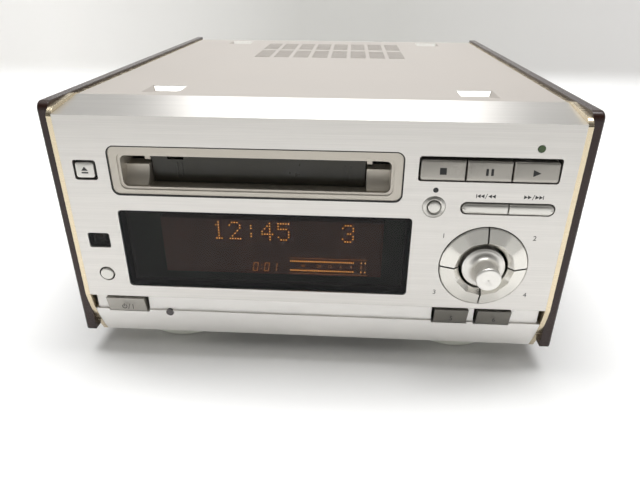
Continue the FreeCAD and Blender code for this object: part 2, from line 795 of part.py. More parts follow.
def make_subframe():
    """The moulded frame behind the face, with holes for what comes through and posts for the board."""
    edge = FACE_HALF - d.subframe_margin
    top = d.face_height - d.subframe_margin
    front, back = SUBFRAME_FRONT, SUBFRAME_BACK
    gap = d.button_gap
    frame = Piece("front_subframe")
    frame.add("y", front, back, rect(-edge, edge, d.subframe_base, top))
    ledge = d.window_ledge
    frame.cut("y", front, back, rect(BEZEL_LEFT - gap, BEZEL_RIGHT + gap, d.bezel_base - gap, BEZEL_TOP + gap))
    frame.cut("y", front, back, rect(WINDOW_LEFT + ledge, WINDOW_RIGHT - ledge, d.window_base + ledge,
                                     d.window_base + d.window_height - ledge))
    frame.cut("y", front, back, rect(IR_LEFT + 1, IR_LEFT + d.ir_width - 1, d.ir_base + 1,
                                     d.ir_base + d.ir_height - 1))
    frame.cut("y", front, back, rect(TRANSPORT_LEFT - gap, TRANSPORT_RIGHT + gap, d.transport_base - gap,
                                     d.transport_base + d.transport_height + gap))
    half = d.eject_width / 2 + gap
    frame.cut("y", front, back, rect(EJECT_MIDDLE - half, EJECT_MIDDLE + half, d.eject_base - gap,
                                     d.eject_base + d.eject_height + gap))
    frame.cut("y", front, back, rect(SKIP_LEFT - gap, SKIP_RIGHT + gap, d.skip_base - gap,
                                     d.skip_base + d.skip_height + gap))
    frame.cut("y", front, back,
              disc(JOG_X, d.jog_z, d.jog_radius + gap),
              disc(RECORD_X, d.record_z, d.record_radius + gap),
              disc(INPUT_X, d.input_z, d.input_radius + gap),
              disc(PLAY_LAMP_X, PLAY_LAMP_Z, d.play_lamp_radius + d.lamp_gap))
    post = d.stem_radius + d.post_wall
    spots = [(x, z) for x in (post - edge, edge - post) for z in (d.subframe_base + post, top - post)]
    frame.add("y", back, d.board_back, *[disc(x, z, post) for x, z in spots])


def make_slot():
    """The bezel of the slot, the flap hinged inside it, its pin and its spring."""
    front, back = d.bezel_recess, d.bezel_depth
    bezel = Piece("slot_bezel")
    bezel.add("y", front, back, rect(BEZEL_LEFT, BEZEL_RIGHT, d.bezel_base, BEZEL_TOP, d.bezel_radius))
    step = d.bezel_step
    bezel.cut("y", front, front + step / 2, rect(RECESS_LEFT - step, RECESS_RIGHT + step,
                                                 d.bezel_base + d.bezel_sill - step, RECESS_TOP + step,
                                                 d.bezel_radius))
    bezel.cut("y", front, front + step * 2, rect(RECESS_LEFT, RECESS_RIGHT, d.bezel_base + d.bezel_sill,
                                                 RECESS_TOP, d.bezel_radius - step / 2))
    bezel.cut("y", front + step * 2, back, rect(RECESS_LEFT, RECESS_RIGHT, SILL, RECESS_TOP))
    lip = d.bezel_base + d.bezel_sill
    block = SILL + d.flap_height * d.block_share
    for left, right in ((RECESS_LEFT, FLAP_LEFT - d.flap_gap), (FLAP_RIGHT + d.flap_gap, RECESS_RIGHT)):
        bezel.add("x", left, right, path([
            (front + step * 2, SILL), (back, SILL), (back, block),
            (d.flap_set_back - d.block_setback, block, -d.flap_height), (front + step * 2, lip),
        ]))
    lug = d.hinge_radius + d.hinge_lug_wall
    pin_left = FLAP_LEFT - d.flap_gap - d.hinge_lug_width
    pin_right = FLAP_RIGHT + d.flap_gap + d.hinge_lug_width
    for left, right in ((pin_left, FLAP_LEFT - d.flap_gap), (FLAP_RIGHT + d.flap_gap, pin_right)):
        bezel.add("x", left, right, rect(HINGE_BACK - lug, back, HINGE_HEIGHT - lug, RECESS_TOP))
    pin_hole = d.hinge_pin_radius + d.running_gap
    bezel.cut("x", pin_left, pin_right, disc(HINGE_BACK, HINGE_HEIGHT, pin_hole))

    flap = Piece("slot_flap")
    base = SILL + d.flap_gap
    flap.add("x", FLAP_LEFT, FLAP_RIGHT, disc(HINGE_BACK, HINGE_HEIGHT, d.hinge_radius))
    flap.add("x", FLAP_LEFT, FLAP_RIGHT, rect(d.flap_set_back, d.flap_set_back + d.flap_thickness, base,
                                              HINGE_HEIGHT))
    gap = d.button_gap
    spring_left = FLAP_LEFT + d.spring_offset
    spring_right = spring_left + d.spring_width
    ring = d.hinge_radius + d.lamp_gap
    flap.cut("x", spring_left - gap, spring_right + gap, rect(HINGE_BACK - ring, HINGE_BACK + ring,
                                                              HINGE_HEIGHT - ring, HINGE_HEIGHT + ring))
    flap.cut("x", FLAP_LEFT, FLAP_RIGHT, disc(HINGE_BACK, HINGE_HEIGHT, pin_hole))

    pin = Piece("flap_pin")
    pin.add("x", pin_left, pin_right, disc(HINGE_BACK, HINGE_HEIGHT, d.hinge_pin_radius))
    spring = Piece("flap_spring")
    spring.add("x", spring_left, spring_right,
               disc(HINGE_BACK, HINGE_HEIGHT, d.hinge_radius - d.lamp_gap),
               disc(HINGE_BACK, HINGE_HEIGHT, pin_hole))


def make_windows():
    """The display window and tube, and the infra-red window."""
    gap = d.window_gap
    window = Piece("display_window")
    window.add("y", d.window_recess, SUBFRAME_FRONT,
               rect(WINDOW_LEFT + gap, WINDOW_RIGHT - gap, d.window_base + gap,
                    d.window_base + d.window_height - gap, d.window_radius))
    tube = Piece("display_tube")
    middle = d.window_base + d.window_height / 2
    start = SUBFRAME_BACK + d.tube_standoff
    across = (WINDOW_LEFT + WINDOW_RIGHT) / 2 + d.tube_offset
    left, right = across - d.tube_width / 2, across + d.tube_width / 2
    tube.add("y", start, start + d.tube_depth, rect(left, right, middle - d.tube_height / 2,
                                                    middle + d.tube_height / 2))
    inset = d.tube_foot_inset
    tube.add("y", start + d.tube_depth, d.board_back, rect(left + inset, right - inset, middle - inset,
                                                           middle + inset))
    infra = Piece("ir_window")
    infra.add("y", d.window_recess, SUBFRAME_FRONT,
              rect(IR_LEFT + gap, IR_LEFT + d.ir_width - gap, d.ir_base + gap,
                   d.ir_base + d.ir_height - gap, d.ir_radius))


def press_button(name, proud, outline, flange, middle):
    """A cap through the face, a flange behind the subframe and a stem towards its switch."""
    button = Piece(name)
    button.add("y", -proud, SUBFRAME_BACK + d.button_gap, outline)
    seat = SUBFRAME_BACK + d.button_gap
    button.add("y", seat, seat + d.flange_thickness, flange)
    button.add("y", seat + d.flange_thickness, STEM_END, disc(middle[0], middle[1], d.stem_radius))
    return button


def make_buttons():
    """All push buttons of the face."""
    centres = []
    grow = d.button_flange
    low, high = d.transport_base, d.transport_base + d.transport_height
    for index, name in enumerate(("stop_button", "pause_button", "play_button")):
        left = TRANSPORT_LEFT + (TRANSPORT_WIDTH + d.transport_split) * index
        right = left + TRANSPORT_WIDTH
        middle = ((left + right) / 2, (low + high) / 2)
        button = press_button(name, d.transport_proud, rect(left, right, low, high),
                              rect(left, right, low - grow, high + grow), middle)
        button.soften(d.button_edge, lambda box: near(box.YMin, -d.transport_proud) and box.YLength < 0.01)
        centres.append(middle)

    left, right = EJECT_MIDDLE - d.eject_width / 2, EJECT_MIDDLE + d.eject_width / 2
    low, high = d.eject_base, d.eject_base + d.eject_height
    middle = (EJECT_MIDDLE, (low + high) / 2)
    press_button("eject_button", d.eject_proud, rect(left, right, low, high, d.eject_radius),
                 rect(left - grow, right + grow, low - grow, high + grow), middle)
    centres.append(middle)

    low, high = d.skip_base, d.skip_base + d.skip_height
    split = d.button_gap / 2
    bow = d.skip_height / 2
    level = low + bow
    left_end, right_end = SKIP_SPLIT - split, SKIP_SPLIT + split
    halves = (
        ("skip_back_button", SKIP_LEFT, left_end, path([
            (left_end, low), (left_end, high), (SKIP_LEFT + bow, high, bow), (SKIP_LEFT, level, bow),
            (SKIP_LEFT + bow, low)])),
        ("skip_forward_button", right_end, SKIP_RIGHT, path([
            (right_end, high), (right_end, low), (SKIP_RIGHT - bow, low, bow), (SKIP_RIGHT, level, bow),
            (SKIP_RIGHT - bow, high)])),
    )
    for name, left, right, outline in halves:
        middle = ((left + right) / 2, (low + high) / 2)
        press_button(name, d.skip_proud, outline,
                     rect(left + bow / 2, right - bow / 2, low - grow, high + grow), middle)
        centres.append(middle)

    for name, x, z, radius, proud in (
            ("record_button", RECORD_X, d.record_z, d.record_radius, d.record_proud),
            ("input_button", INPUT_X, d.input_z, d.input_radius, d.input_proud)):
        button = press_button(name, proud, disc(x, z, radius), disc(x, z, radius + grow), (x, z))
        button.soften(d.button_edge, lambda box: near(box.YMin, -proud) and box.YLength < 0.01)
        centres.append((x, z))
    ring = Piece("record_ring", (RECORD_X, ZERO, d.record_z))
    inner, outer = d.record_radius + d.button_gap, d.record_ring_radius
    ring.turn([
        (inner, -d.ring_proud * 0.4), (outer - 0.9, -d.ring_proud), (outer, ZERO), (outer, SUBFRAME_FRONT),
        (inner, SUBFRAME_FRONT),
    ])
    return centres


def make_lower_buttons():
    """The power button and two more in the fascia, whose faces carry on its convex curve."""
    low, high = d.lower_top - d.lower_height, d.lower_top
    back = FASCIA_BACK - 2
    centres = []
    for name, left, width in (("power_button", POWER_LEFT, d.power_width),
                              ("lower_button_left", LOWER_LEFTS[0], d.lower_width),
                              ("lower_button_right", LOWER_LEFTS[1], d.lower_width)):
        button = Piece(name)
        button.add("x", left, left + width, path([
            (curve_back(high), high, d.fascia_curve_radius), (curve_back(low), low),
            (back, low), (back, high),
        ]))
        middle = (left + width / 2, (low + high) / 2)
        button.add("y", back, STEM_END, disc(middle[0], middle[1], d.stem_radius))
        centres.append(middle)
    return centres


def make_ring_buttons():
    """Four quarters of a faceted ring round the jog knob, each a button of its own."""
    centres = []
    split = d.jog_split / 2
    back = SUBFRAME_BACK + d.button_gap
    outer = d.jog_radius
    reach = outer + d.button_flange
    for name, across, up in (("top_left", -1, 1), ("top_right", 1, 1), ("bottom_left", -1, -1),
                             ("bottom_right", 1, -1)):
        quarter = Piece(f"ring_button_{name}", (JOG_X, ZERO, d.jog_z))
        quarter.turn([
            (d.jog_inner_radius, -d.jog_inner_proud), (d.jog_ridge_radius, -d.jog_ridge_proud),
            (outer, -d.jog_proud), (outer, back), (reach, back), (reach, back + d.flange_thickness),
            (d.jog_inner_radius + 2, back + d.flange_thickness), (d.jog_inner_radius + 2, back),
            (d.jog_inner_radius, back),
        ])
        near_x, far_x = (-split, reach + 1) if across < 0 else (-reach - 1, split)
        quarter.cut("z", -reach - 1, reach + 1, rect(near_x, far_x, -d.knob_reach, d.board_back))
        low, high = (-reach - 1, split) if up > 0 else (-split, reach + 1)
        quarter.cut("x", -reach - 1, reach + 1, rect(-d.knob_reach, d.board_back, low, high))
        middle = (outer + d.jog_inner_radius) / 2 * 0.7071
        quarter.add("y", back + d.flange_thickness, STEM_END,
                    disc(middle * across, middle * up, d.stem_radius))
        centres.append((JOG_X + middle * across, d.jog_z + middle * up))
    return centres


def make_jog():
    """The knob with its skirt and knurl, the shaft it turns on, and the encoder that takes the shaft."""
    at = (JOG_X, ZERO, d.jog_z)
    tip = -d.knob_reach
    neck = tip + d.knob_cap + d.knurl_length
    skirt = -d.knob_skirt_proud
    grip = d.knob_radius
    bore = d.shaft_radius + d.running_gap
    knob = Piece("jog_knob", at)
    edge = d.knob_edge
    knob.turn([
        (ZERO, tip + d.knob_dimple_depth), (d.knob_dimple_radius, tip), (grip - edge, tip, edge),
        (grip, tip + edge), (grip, neck, -d.shaft_radius), (d.knob_skirt_radius - edge, skirt),
        (d.knob_skirt_radius, skirt + edge / 2), (d.knob_skirt_radius, SUBFRAME_FRONT),
        (bore, SUBFRAME_FRONT),
        (bore, tip + d.knob_bore_start), (ZERO, tip + d.knob_bore_start),
    ])
    width = grip * math.pi / 2 / d.knurl_count
    knob.cut("y", tip + d.knob_cap, neck, path([
        (-width, grip + d.lamp_gap), (ZERO, grip - d.knurl_depth), (width, grip + d.lamp_gap),
    ]))
    knob.repeat_around(knob.last, d.knurl_count)

    shaft = Piece("jog_plunger", at)
    body = d.board_back - d.encoder_depth
    push = body + d.encoder_bush
    shaft.add("y", tip + d.knob_bore_start + d.button_gap, push - d.button_travel - d.button_gap,
              disc(ZERO, ZERO, d.shaft_radius))

    encoder = Piece("jog_encoder", at)
    half = d.encoder_width / 2
    encoder.add("y", body, d.board_back, rect(-half, half, -half, half))
    encoder.add("y", body - d.encoder_bush, body, disc(ZERO, ZERO, d.shaft_radius + d.encoder_bush_wall))
    encoder.cut("y", body - d.encoder_bush, push, disc(ZERO, ZERO, bore))


def make_lamps():
    """The green lamp in the face and the dark one in the fascia, each a light guide to the board."""
    play = Piece("play_lamp")
    play.add("y", -d.lamp_proud, d.board_back, disc(PLAY_LAMP_X, PLAY_LAMP_Z, d.play_lamp_radius))
    standby = Piece("standby_lamp")
    standby.add("y", curve_back(d.standby_z) - d.lamp_proud, d.board_back,
                disc(STANDBY_X, d.standby_z, d.standby_radius))


def make_front_board(centres):
    """The board behind the subframe, notched for the slot, with the switches and the receiver on it."""
    edge = FACE_HALF - d.subframe_margin
    top = d.face_height - d.subframe_margin
    front = d.board_back
    back = front + d.board_thickness
    room = d.slot_board_gap
    board = Piece("front_circuit_board")
    board.add("y", front, back, path([
        (-edge, -d.board_drop), (edge, -d.board_drop), (edge, top), (BEZEL_RIGHT + room, top),
        (BEZEL_RIGHT + room, d.bezel_base - room), (BEZEL_LEFT - room, d.bezel_base - room),
        (BEZEL_LEFT - room, top), (-edge, top),
    ]))
    inset = d.receiver_inset
    board.add("y", front - d.receiver_depth, front,
              rect(IR_LEFT + inset, IR_LEFT + d.ir_width - inset, d.ir_base + inset / 2,
                   d.ir_base + d.ir_height - inset / 2))
    switches = Piece("tact_switches")
    half = d.switch_width / 2
    switches.add("y", front - d.switch_height, front,
                 *[rect(x - half, x + half, z - half, z + half) for x, z in centres])


def make_chassis():
    """The floor pan with its upturned edges and the posts under the main board."""
    front, back = FASCIA_BACK, REAR_INNER
    sheet = d.floor_thickness
    side = FACE_HALF - d.sheet_steel
    pan = Piece("base_chassis")
    pan.add("z", UNDERSIDE, FLOOR_TOP, rect(-side, side, front, back))
    lip = UNDERSIDE + d.chassis_flange
    pan.add("z", FLOOR_TOP, lip, rect(-side, side, front, front + sheet),
            rect(-side, sheet - side, front + sheet * 2, back), rect(side - sheet, side, front + sheet * 2, back))
    inset = d.standoff_inset
    posts = [(x, y) for x in (MAIN_BOARD_LEFT + inset, MAIN_BOARD_LEFT + d.main_board_width - inset)
             for y in (BOARD_FRONT + inset, BOARD_END - inset)]
    pan.add("z", FLOOR_TOP, FLOOR_TOP + d.standoff_height, *[disc(x, y, d.standoff_radius) for x, y in posts])


def make_main_board():
    """The main board on its posts, with chips, capacitors and a heat sink standing on it."""
    base = FLOOR_TOP + d.standoff_height
    top = base + d.board_thickness
    left, front = MAIN_BOARD_LEFT, BOARD_FRONT
    board = Piece("main_circuit_board")
    board.add("z", base, top, rect(left, left + d.main_board_width, front, BOARD_END))
    chips = ((20, 38, 12, 30), (52, 66, 40, 54), (30, 44, 48, 58))
    board.add("z", top, top + d.chip_height,
              *[rect(left + x0, left + x1, front + y0, front + y1) for x0, x1, y0, y1 in chips])
    for height, capacitors in ((d.large_cap_height, ((92, 14, 6), (106, 30, 6))),
                               (d.small_cap_height, ((92, 62, 4), (104, 66, 4), (12, 62, 5)))):
        board.add("z", top, top + height,
                  *[disc(left + x, front + y, Size.of(radius)) for x, y, radius in capacitors])
    fin = (70, 84, 20, 23)
    board.add("z", top, top + d.heat_sink_height, rect(left + fin[0], left + fin[1], front + fin[2],
                                                       front + fin[3]))


def make_transformer():
    """A laminated core with its winding and a foot plate."""
    left, front = FACE_HALF - d.transformer_inset, d.transformer_front
    right, back = left + d.transformer_width, front + d.transformer_length
    base = FLOOR_TOP + d.floor_thickness
    top = base + d.transformer_height
    ear, over, inset = d.core_ear, d.winding_overhang, d.winding_inset
    unit = Piece("transformer")
    unit.add("z", FLOOR_TOP, base, rect(left - ear, right + ear, front + over, back - over))
    unit.add("z", base, top, rect(left, right, front + over, back - over))
    unit.add("z", base + inset, top - inset, rect(left + inset, right - inset, front, back, inset))


def make_rear():
    """The rear panel with its openings, and the sockets that come through it."""
    gap = d.button_gap
    panel = Piece("rear_panel")
    panel.add("y", REAR_INNER, REAR_FACE, rect(-FACE_HALF, FACE_HALF, UNDERSIDE, COVER_TOP))
    jack_left = d.jack_inset - FACE_HALF
    jacks = [(jack_left + d.jack_pitch * column, d.jack_base + d.jack_row_pitch * row)
             for column in range(2) for row in range(2)]
    panel.cut("y", REAR_INNER, REAR_FACE, *[disc(x, z, d.jack_radius + gap) for x, z in jacks])
    half = d.optical_size / 2
    low = d.jack_base
    optical = [(d.optical_inset - FACE_HALF + d.optical_pitch * index, low) for index in range(2)]
    panel.cut("y", REAR_INNER, REAR_FACE,
              *[rect(x - half - gap, x + half + gap, z - half - gap, z + half + gap) for x, z in optical])
    wide, tall = d.inlet_width / 2, d.inlet_height / 2
    inlet_x = FACE_HALF - d.inlet_inset
    panel.cut("y", REAR_INNER, REAR_FACE, rect(inlet_x - wide - gap, inlet_x + wide + gap,
                                               d.inlet_z - tall - gap, d.inlet_z + tall + gap))

    sockets = Piece("line_jacks")
    margin = d.jack_radius + d.jack_block_margin
    sockets.add("y", REAR_INNER - d.jack_block_depth, REAR_INNER,
                rect(jack_left - margin, jack_left + d.jack_pitch + margin, low - margin,
                     low + d.jack_row_pitch + margin))
    sockets.add("y", REAR_INNER + gap, REAR_FACE + d.jack_reach, *[disc(x, z, d.jack_radius) for x, z in jacks])
    sockets.cut("y", REAR_FACE + d.jack_reach - d.jack_bore_depth, REAR_FACE + d.jack_reach,
                *[disc(x, z, d.jack_bore_radius) for x, z in jacks])

    light = Piece("optical_sockets")
    for x, z in optical:
        light.add("y", REAR_INNER - d.optical_depth, REAR_FACE + d.optical_proud,
                  rect(x - half, x + half, z - half, z + half))

    inlet = Piece("mains_inlet")
    back = REAR_FACE + d.inlet_proud
    rim = d.inlet_rim
    inlet.add("y", back - d.inlet_depth - rim, back, rect(inlet_x - wide, inlet_x + wide,
                                                          d.inlet_z - tall, d.inlet_z + tall))
    inlet.cut("y", back - d.inlet_depth, back, rect(inlet_x - wide + rim, inlet_x + wide - rim,
                                                    d.inlet_z - tall + rim, d.inlet_z + tall - rim,
                                                    tall - rim * 1.1))
    pins = [(inlet_x - d.inlet_pin_pitch / 2, d.inlet_z), (inlet_x + d.inlet_pin_pitch / 2, d.inlet_z)]
    inlet.add("y", back - d.inlet_depth, back - d.inlet_pin_recess,
              *[disc(x, z, d.inlet_pin_radius) for x, z in pins])

    inset = d.screw_inset
    places = [(x, z) for x in (inset - FACE_HALF, ZERO, FACE_HALF - inset)
              for z in (UNDERSIDE + inset, COVER_TOP - inset)]
    room = d.screw_shank_radius + d.running_gap
    panel.cut("y", REAR_INNER, REAR_FACE, *[disc(x, z, room) for x, z in places])
    screws = Piece("panel_screws")
    screws.add("y", REAR_FACE, REAR_FACE + d.screw_head_height,
               *[disc(x, z, d.screw_head_radius) for x, z in places])
    screws.add("y", REAR_FACE - d.screw_length, REAR_FACE,
               *[disc(x, z, d.screw_shank_radius) for x, z in places])


def make_mechanism_chassis():
    """The frame of the disc mechanism: a base plate, side walls with guides for the pins, legs and posts."""
    middle = SLOT_MIDDLE
    front, back = d.deck_front, d.deck_front + d.deck_length
    half, wall = d.deck_half_width, d.deck_wall
    frame = Piece("mechanism_chassis", (middle, ZERO, ZERO))
    frame.add("z", d.deck_base, DECK_FLOOR, rect(-half, half, front, back))
    for left, right in ((-half, wall - half), (half - wall, half)):
        frame.add("z", DECK_FLOOR, DECK_TOP, rect(left, right, front, back))
        frame.add("z", FLOOR_TOP, d.deck_base, rect(left, right, front, front + d.leg_length),
                  rect(left, right, back - d.leg_length, back))
    toe = d.leg_toe
    for left, right in ((wall - half, wall - half + toe), (half - wall - toe, half - wall)):
        frame.add("z", FLOOR_TOP, FLOOR_TOP + wall, rect(left, right, front, front + d.leg_length),
                  rect(left, right, back - d.leg_length, back))
    guide = d.pin_radius + d.slide_gap
    frame.cut("x", -half, half, *[rect(y - guide, y + guide, PIN_HEIGHT - d.holder_drop - guide,
                                       PIN_HEIGHT + guide) for y in PIN_PLACES])
    frame.cut("z", d.deck_base, DECK_FLOOR, disc(MOTOR_X, GEAR_BACK, d.motor_shaft_radius + d.gear_lift))
    frame.add("z", DECK_FLOOR, GEAR_BASE + d.gear_thickness + d.gear_lift,
              disc(d.gear_x, GEAR_BACK, d.gear_post_radius))
    spread = d.rod_spread / 2
    width = d.post_width / 2
    start, end = d.deck_front + d.rod_front, ROD_BACK
    posts = [rect(x - width, x + width, y - d.post_length, y)
             for x in (-spread, spread) for y in (start, end)]
    screw_post = rect(d.screw_x - width, d.screw_x + width, start - d.post_length, start)
    frame.add("z", DECK_FLOOR, d.rod_height + width, *posts, screw_post)
    frame.cut("y", start - d.post_length, start, *[disc(x, d.rod_height, d.rod_radius + d.running_gap)
                                                   for x in (-spread, spread, d.screw_x)])
    frame.cut("y", end - d.post_length, end, *[disc(x, d.rod_height, d.rod_radius + d.running_gap)
                                               for x in (-spread, spread)])


def make_holder():
    """The sheet-metal holder that takes the cartridge, with four pins that ride in the slots."""
    wall = d.holder_wall
    half, inner = HOLDER_HALF, HOLDER_HALF - d.holder_wall
    front, back = HOLDER_FRONT, HOLDER_FRONT + d.holder_length
    base, top = d.holder_base, d.holder_base + HOLDER_HEIGHT
    holder = Piece("cartridge_holder", (SLOT_MIDDLE, ZERO, ZERO))
    holder.add("y", front, back, rect(-half, half, base, top))
    holder.cut("y", front, back - wall, rect(-inner, inner, base + wall, top - wall))
    lip, mouth = d.holder_lip, d.holder_mouth
    holder.cut("z", base, base + wall, rect(lip - half, half - lip, front + mouth, back - wall))
    holder.cut("z", top - wall, top, rect(lip - half, half - lip, front + mouth * 2, back - mouth))
    reach = d.deck_half_width + d.pin_reach
    for left, right in ((-reach, -half), (half, reach)):
        holder.add("x", left, right, *[disc(y, PIN_HEIGHT, d.pin_radius) for y in PIN_PLACES])


def make_slide_plate():
    """The slide: two walls with slanted slots joined by a web behind, and a rack on the right wall."""
    front = d.deck_front + d.slide_front
    back = d.deck_front + d.deck_length
    web = d.slide_web
    top = PIN_HEIGHT + d.pin_radius + d.slide_gap + d.slide_rim
    slide = Piece("slide_plate", (SLOT_MIDDLE, ZERO, ZERO))
    for left, right in ((-SLIDE_OUTER, -SLIDE_INNER), (SLIDE_INNER, SLIDE_OUTER)):
        slide.add("x", left, right, rect(front, back, SLIDE_BASE, top))
    slide.add("z", SLIDE_BASE, SLIDE_BASE + d.slide_wall, rect(-SLIDE_INNER, SLIDE_INNER, back - web, back))
    room = d.pin_radius + d.slide_gap
    run, drop = d.slide_travel, d.holder_drop
    length = (run * run + drop * drop).root()
    across_y, across_z = room * drop / length, room * run / length
    slots = []
    for y in PIN_PLACES:
        low_y, low_z = y - run, PIN_HEIGHT - drop
        slots.append(path([
            (low_y + across_y, low_z - across_z), (y + across_y, PIN_HEIGHT - across_z, room),
            (y + across_z, PIN_HEIGHT + across_y, room), (y - across_y, PIN_HEIGHT + across_z),
            (low_y - across_y, low_z + across_z, room), (low_y - across_z, low_z - across_y, room),
        ]))
    slide.cut("x", -SLIDE_OUTER, SLIDE_OUTER, *slots)
    pitch = d.gear_module * math.pi
    rack_x = d.gear_x + GEAR_RADIUS
    root = rack_x + d.gear_module
    teeth = int(d.rack_teeth.value)
    start = GEAR_BACK - pitch * (d.rack_teeth - 1.5)
    slide.add("z", GEAR_BASE, GEAR_BASE + d.gear_thickness,
              rect(root, SLIDE_INNER, start - pitch / 2, start + pitch * (d.rack_teeth - 0.5)))
    thick, thin = pitch * d.tooth_share / 2 * d.tooth_root, pitch * d.tooth_share / 4
    tip = rack_x - d.gear_module * d.tooth_rise
    slide.add("z", GEAR_BASE, GEAR_BASE + d.gear_thickness, *[path([
        (root, start + pitch * index - thick), (root, start + pitch * index + thick),
        (tip, start + pitch * index + thin), (tip, start + pitch * index - thin),
    ]) for index in range(teeth)])


def toothed_wheel(name, at, teeth, turned):
    """A spur wheel with straight-sided teeth. Turned by half a tooth, a gap faces along +x."""
    wheel = Piece(name, at)
    pitch_radius = d.gear_module * teeth / 2
    root = pitch_radius - d.gear_module
    tip = pitch_radius + d.gear_module * d.tooth_rise
    pitch = d.gear_module * math.pi
    thick, thin = pitch * d.tooth_share / 2 * d.tooth_root, pitch * d.tooth_share / 4
    inside = root - d.gear_module / 3
    wheel.add("z", ZERO, d.gear_thickness, disc(ZERO, ZERO, root))
    wheel.add("z", ZERO, d.gear_thickness, path([
        (inside, -thick), (tip, -thin), (tip, thin), (inside, thick),
    ]))
    tooth = wheel.body.Tip
    wheel.repeat_around(tooth, teeth, axis="z")
    if turned:
        wheel.body.setExpression("Placement.Rotation.Angle", f"180 / {teeth.text}")
        wheel.body.Placement.Rotation.Axis = FreeCAD.Vector(0, 0, 1)
    return wheel


def make_loading_drive():
    """The gear that moves the slide, the pinion that turns it and the motor below."""
    middle = SLOT_MIDDLE
    gear = toothed_wheel("loading_gear", (middle + d.gear_x, GEAR_BACK, GEAR_BASE), d.gear_teeth, False)
    gear.cut("z", ZERO, d.gear_thickness, disc(ZERO, ZERO, d.gear_post_radius + d.running_gap))
    shaft, depth = d.motor_shaft_radius, d.motor_shaft_depth
    pinion = toothed_wheel("motor_pinion", (middle + MOTOR_X, GEAR_BACK, GEAR_BASE), d.pinion_teeth, True)
    pinion.add("z", d.deck_base - GEAR_BASE - depth, ZERO, disc(ZERO, ZERO, shaft))
    motor = Piece("loading_motor", (middle + MOTOR_X, GEAR_BACK, d.deck_base))
    motor.add("z", -d.loading_motor_height, ZERO, disc(ZERO, ZERO, d.loading_motor_radius))
    motor.cut("z", -depth - d.button_gap, ZERO, disc(ZERO, ZERO, shaft + d.running_gap))


def make_spindle():
    """The flat spindle motor and the turntable on its shaft."""
    at = (SLOT_MIDDLE, DISC_BACK, DECK_FLOOR)
    motor = Piece("spindle_motor", at)
    bore = d.rod_radius + d.running_gap
    motor.add("z", ZERO, d.spindle_height, disc(ZERO, ZERO, d.spindle_radius))
    motor.cut("z", d.turntable_rim, d.spindle_height, disc(ZERO, ZERO, bore))
    table = Piece("turntable", at)
    start = d.spindle_height + d.slide_gap
    rim = d.turntable_rim
    top = d.turntable_top - DECK_FLOOR
    table.add("z", start, top - rim * 2, disc(ZERO, ZERO, d.turntable_radius / 2))
    table.add("z", top - rim * 2, top - rim, disc(ZERO, ZERO, d.turntable_radius))
    table.add("z", top - rim, top, disc(ZERO, ZERO, d.turntable_radius / 2 - rim / 2))
    table.add("z", rim + d.slide_gap, start, disc(ZERO, ZERO, d.rod_radius))


def make_pickup():
    """The sled with its lens on two rods, moved by a lead screw that a small motor turns."""
    middle = SLOT_MIDDLE
    start, end = d.deck_front + d.rod_front, ROD_BACK
    front = d.deck_front + d.sled_back
    back = front + d.sled_length
    height = d.rod_height
    spread = d.rod_spread / 2
    low, high = height - d.sled_half_height, height + d.sled_half_height
    room = d.rod_radius + d.lamp_gap
    sled = Piece("pickup_sled", (middle, ZERO, ZERO))
    sled.add("y", front, back, rect(-d.sled_width / 2, d.sled_width / 2, low, high))
    nut, nut_end = front + d.nut_setback, front + d.nut_setback + d.nut_length
    sled.add("y", nut, nut_end, rect(d.sled_width / 2, d.screw_x + d.rod_radius + d.nut_wall, low, high))
    sled.cut("y", front, back, *[disc(x, height, room) for x in (-spread, spread)])
    sled.cut("y", nut, nut_end, disc(d.screw_x, height, d.rod_radius + d.slide_gap))
    sled.add("z", high, d.lens_top, disc(ZERO, front + d.sled_length / 2, d.lens_radius))

    rods = Piece("guide_rods", (middle, ZERO, ZERO))
    rods.add("y", start - d.post_length, end, *[disc(x, height, d.rod_radius) for x in (-spread, spread)])

    motor_front = end - d.sled_motor_length
    foot = d.sled_motor_foot
    motor = Piece("sled_motor", (middle, ZERO, ZERO))
    motor.add("y", motor_front, end, disc(d.screw_x, height, d.sled_motor_radius))
    motor.add("z", DECK_FLOOR, height - foot, rect(d.screw_x - foot, d.screw_x + foot, motor_front, end))
    motor.cut("y", motor_front, motor_front + d.screw_entry + d.button_gap,
              disc(d.screw_x, height, d.rod_radius + d.running_gap))
    screw = Piece("lead_screw", (middle, ZERO, ZERO))
    screw.add("y", start - d.post_length, motor_front + d.screw_entry, disc(d.screw_x, height, d.rod_radius))


def check_and_write():
    """Stop on anything that failed, then write each sub-part to its own file."""
    DOC.recompute()
    for item in DOC.Objects:
        if "Invalid" in item.State or "Error" in item.State:
            raise RuntimeError(f"{item.Label} failed: {item.State}")
    for item in SUBPARTS:
        if item.Shape.isNull() or not item.Shape.isValid():
            raise RuntimeError(f"{item.Label} has no valid shape")
    os.makedirs("parts", exist_ok=True)
    for item in SUBPARTS:
        item.Shape.exportStep(f"parts/{item.Label}.step")
        print(item.Label, len(item.Shape.Solids), round(item.Shape.Volume, 1))


make_front_panel()
make_lower_fascia()
make_side_panels()
make_trim_plates()
make_top_cover()
make_feet()
make_subframe()
make_slot()
make_windows()
switch_places = make_buttons() + make_lower_buttons() + make_ring_buttons()
make_jog()
make_lamps()
make_front_board(switch_places)
make_chassis()
make_main_board()
make_transformer()
make_rear()
make_mechanism_chassis()
make_holder()
make_slide_plate()
make_loading_drive()
make_spindle()
make_pickup()
check_and_write()
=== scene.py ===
"""Scene for a small minidisc deck: finishes, printed marks, display, fixings, studio and camera.

Lengths in this file are millimetres in the front face's own frame (x to the right, y backwards from the
flat face, z up from its lower edge) unless a name says otherwise. ``face_point`` turns them into metres.
"""
import logging
import math
from collections.abc import Callable, Iterable, Sequence
from dataclasses import dataclass, field, replace
from enum import Enum
from typing import Any

import bmesh
import bpy
from mathutils import Matrix, Vector


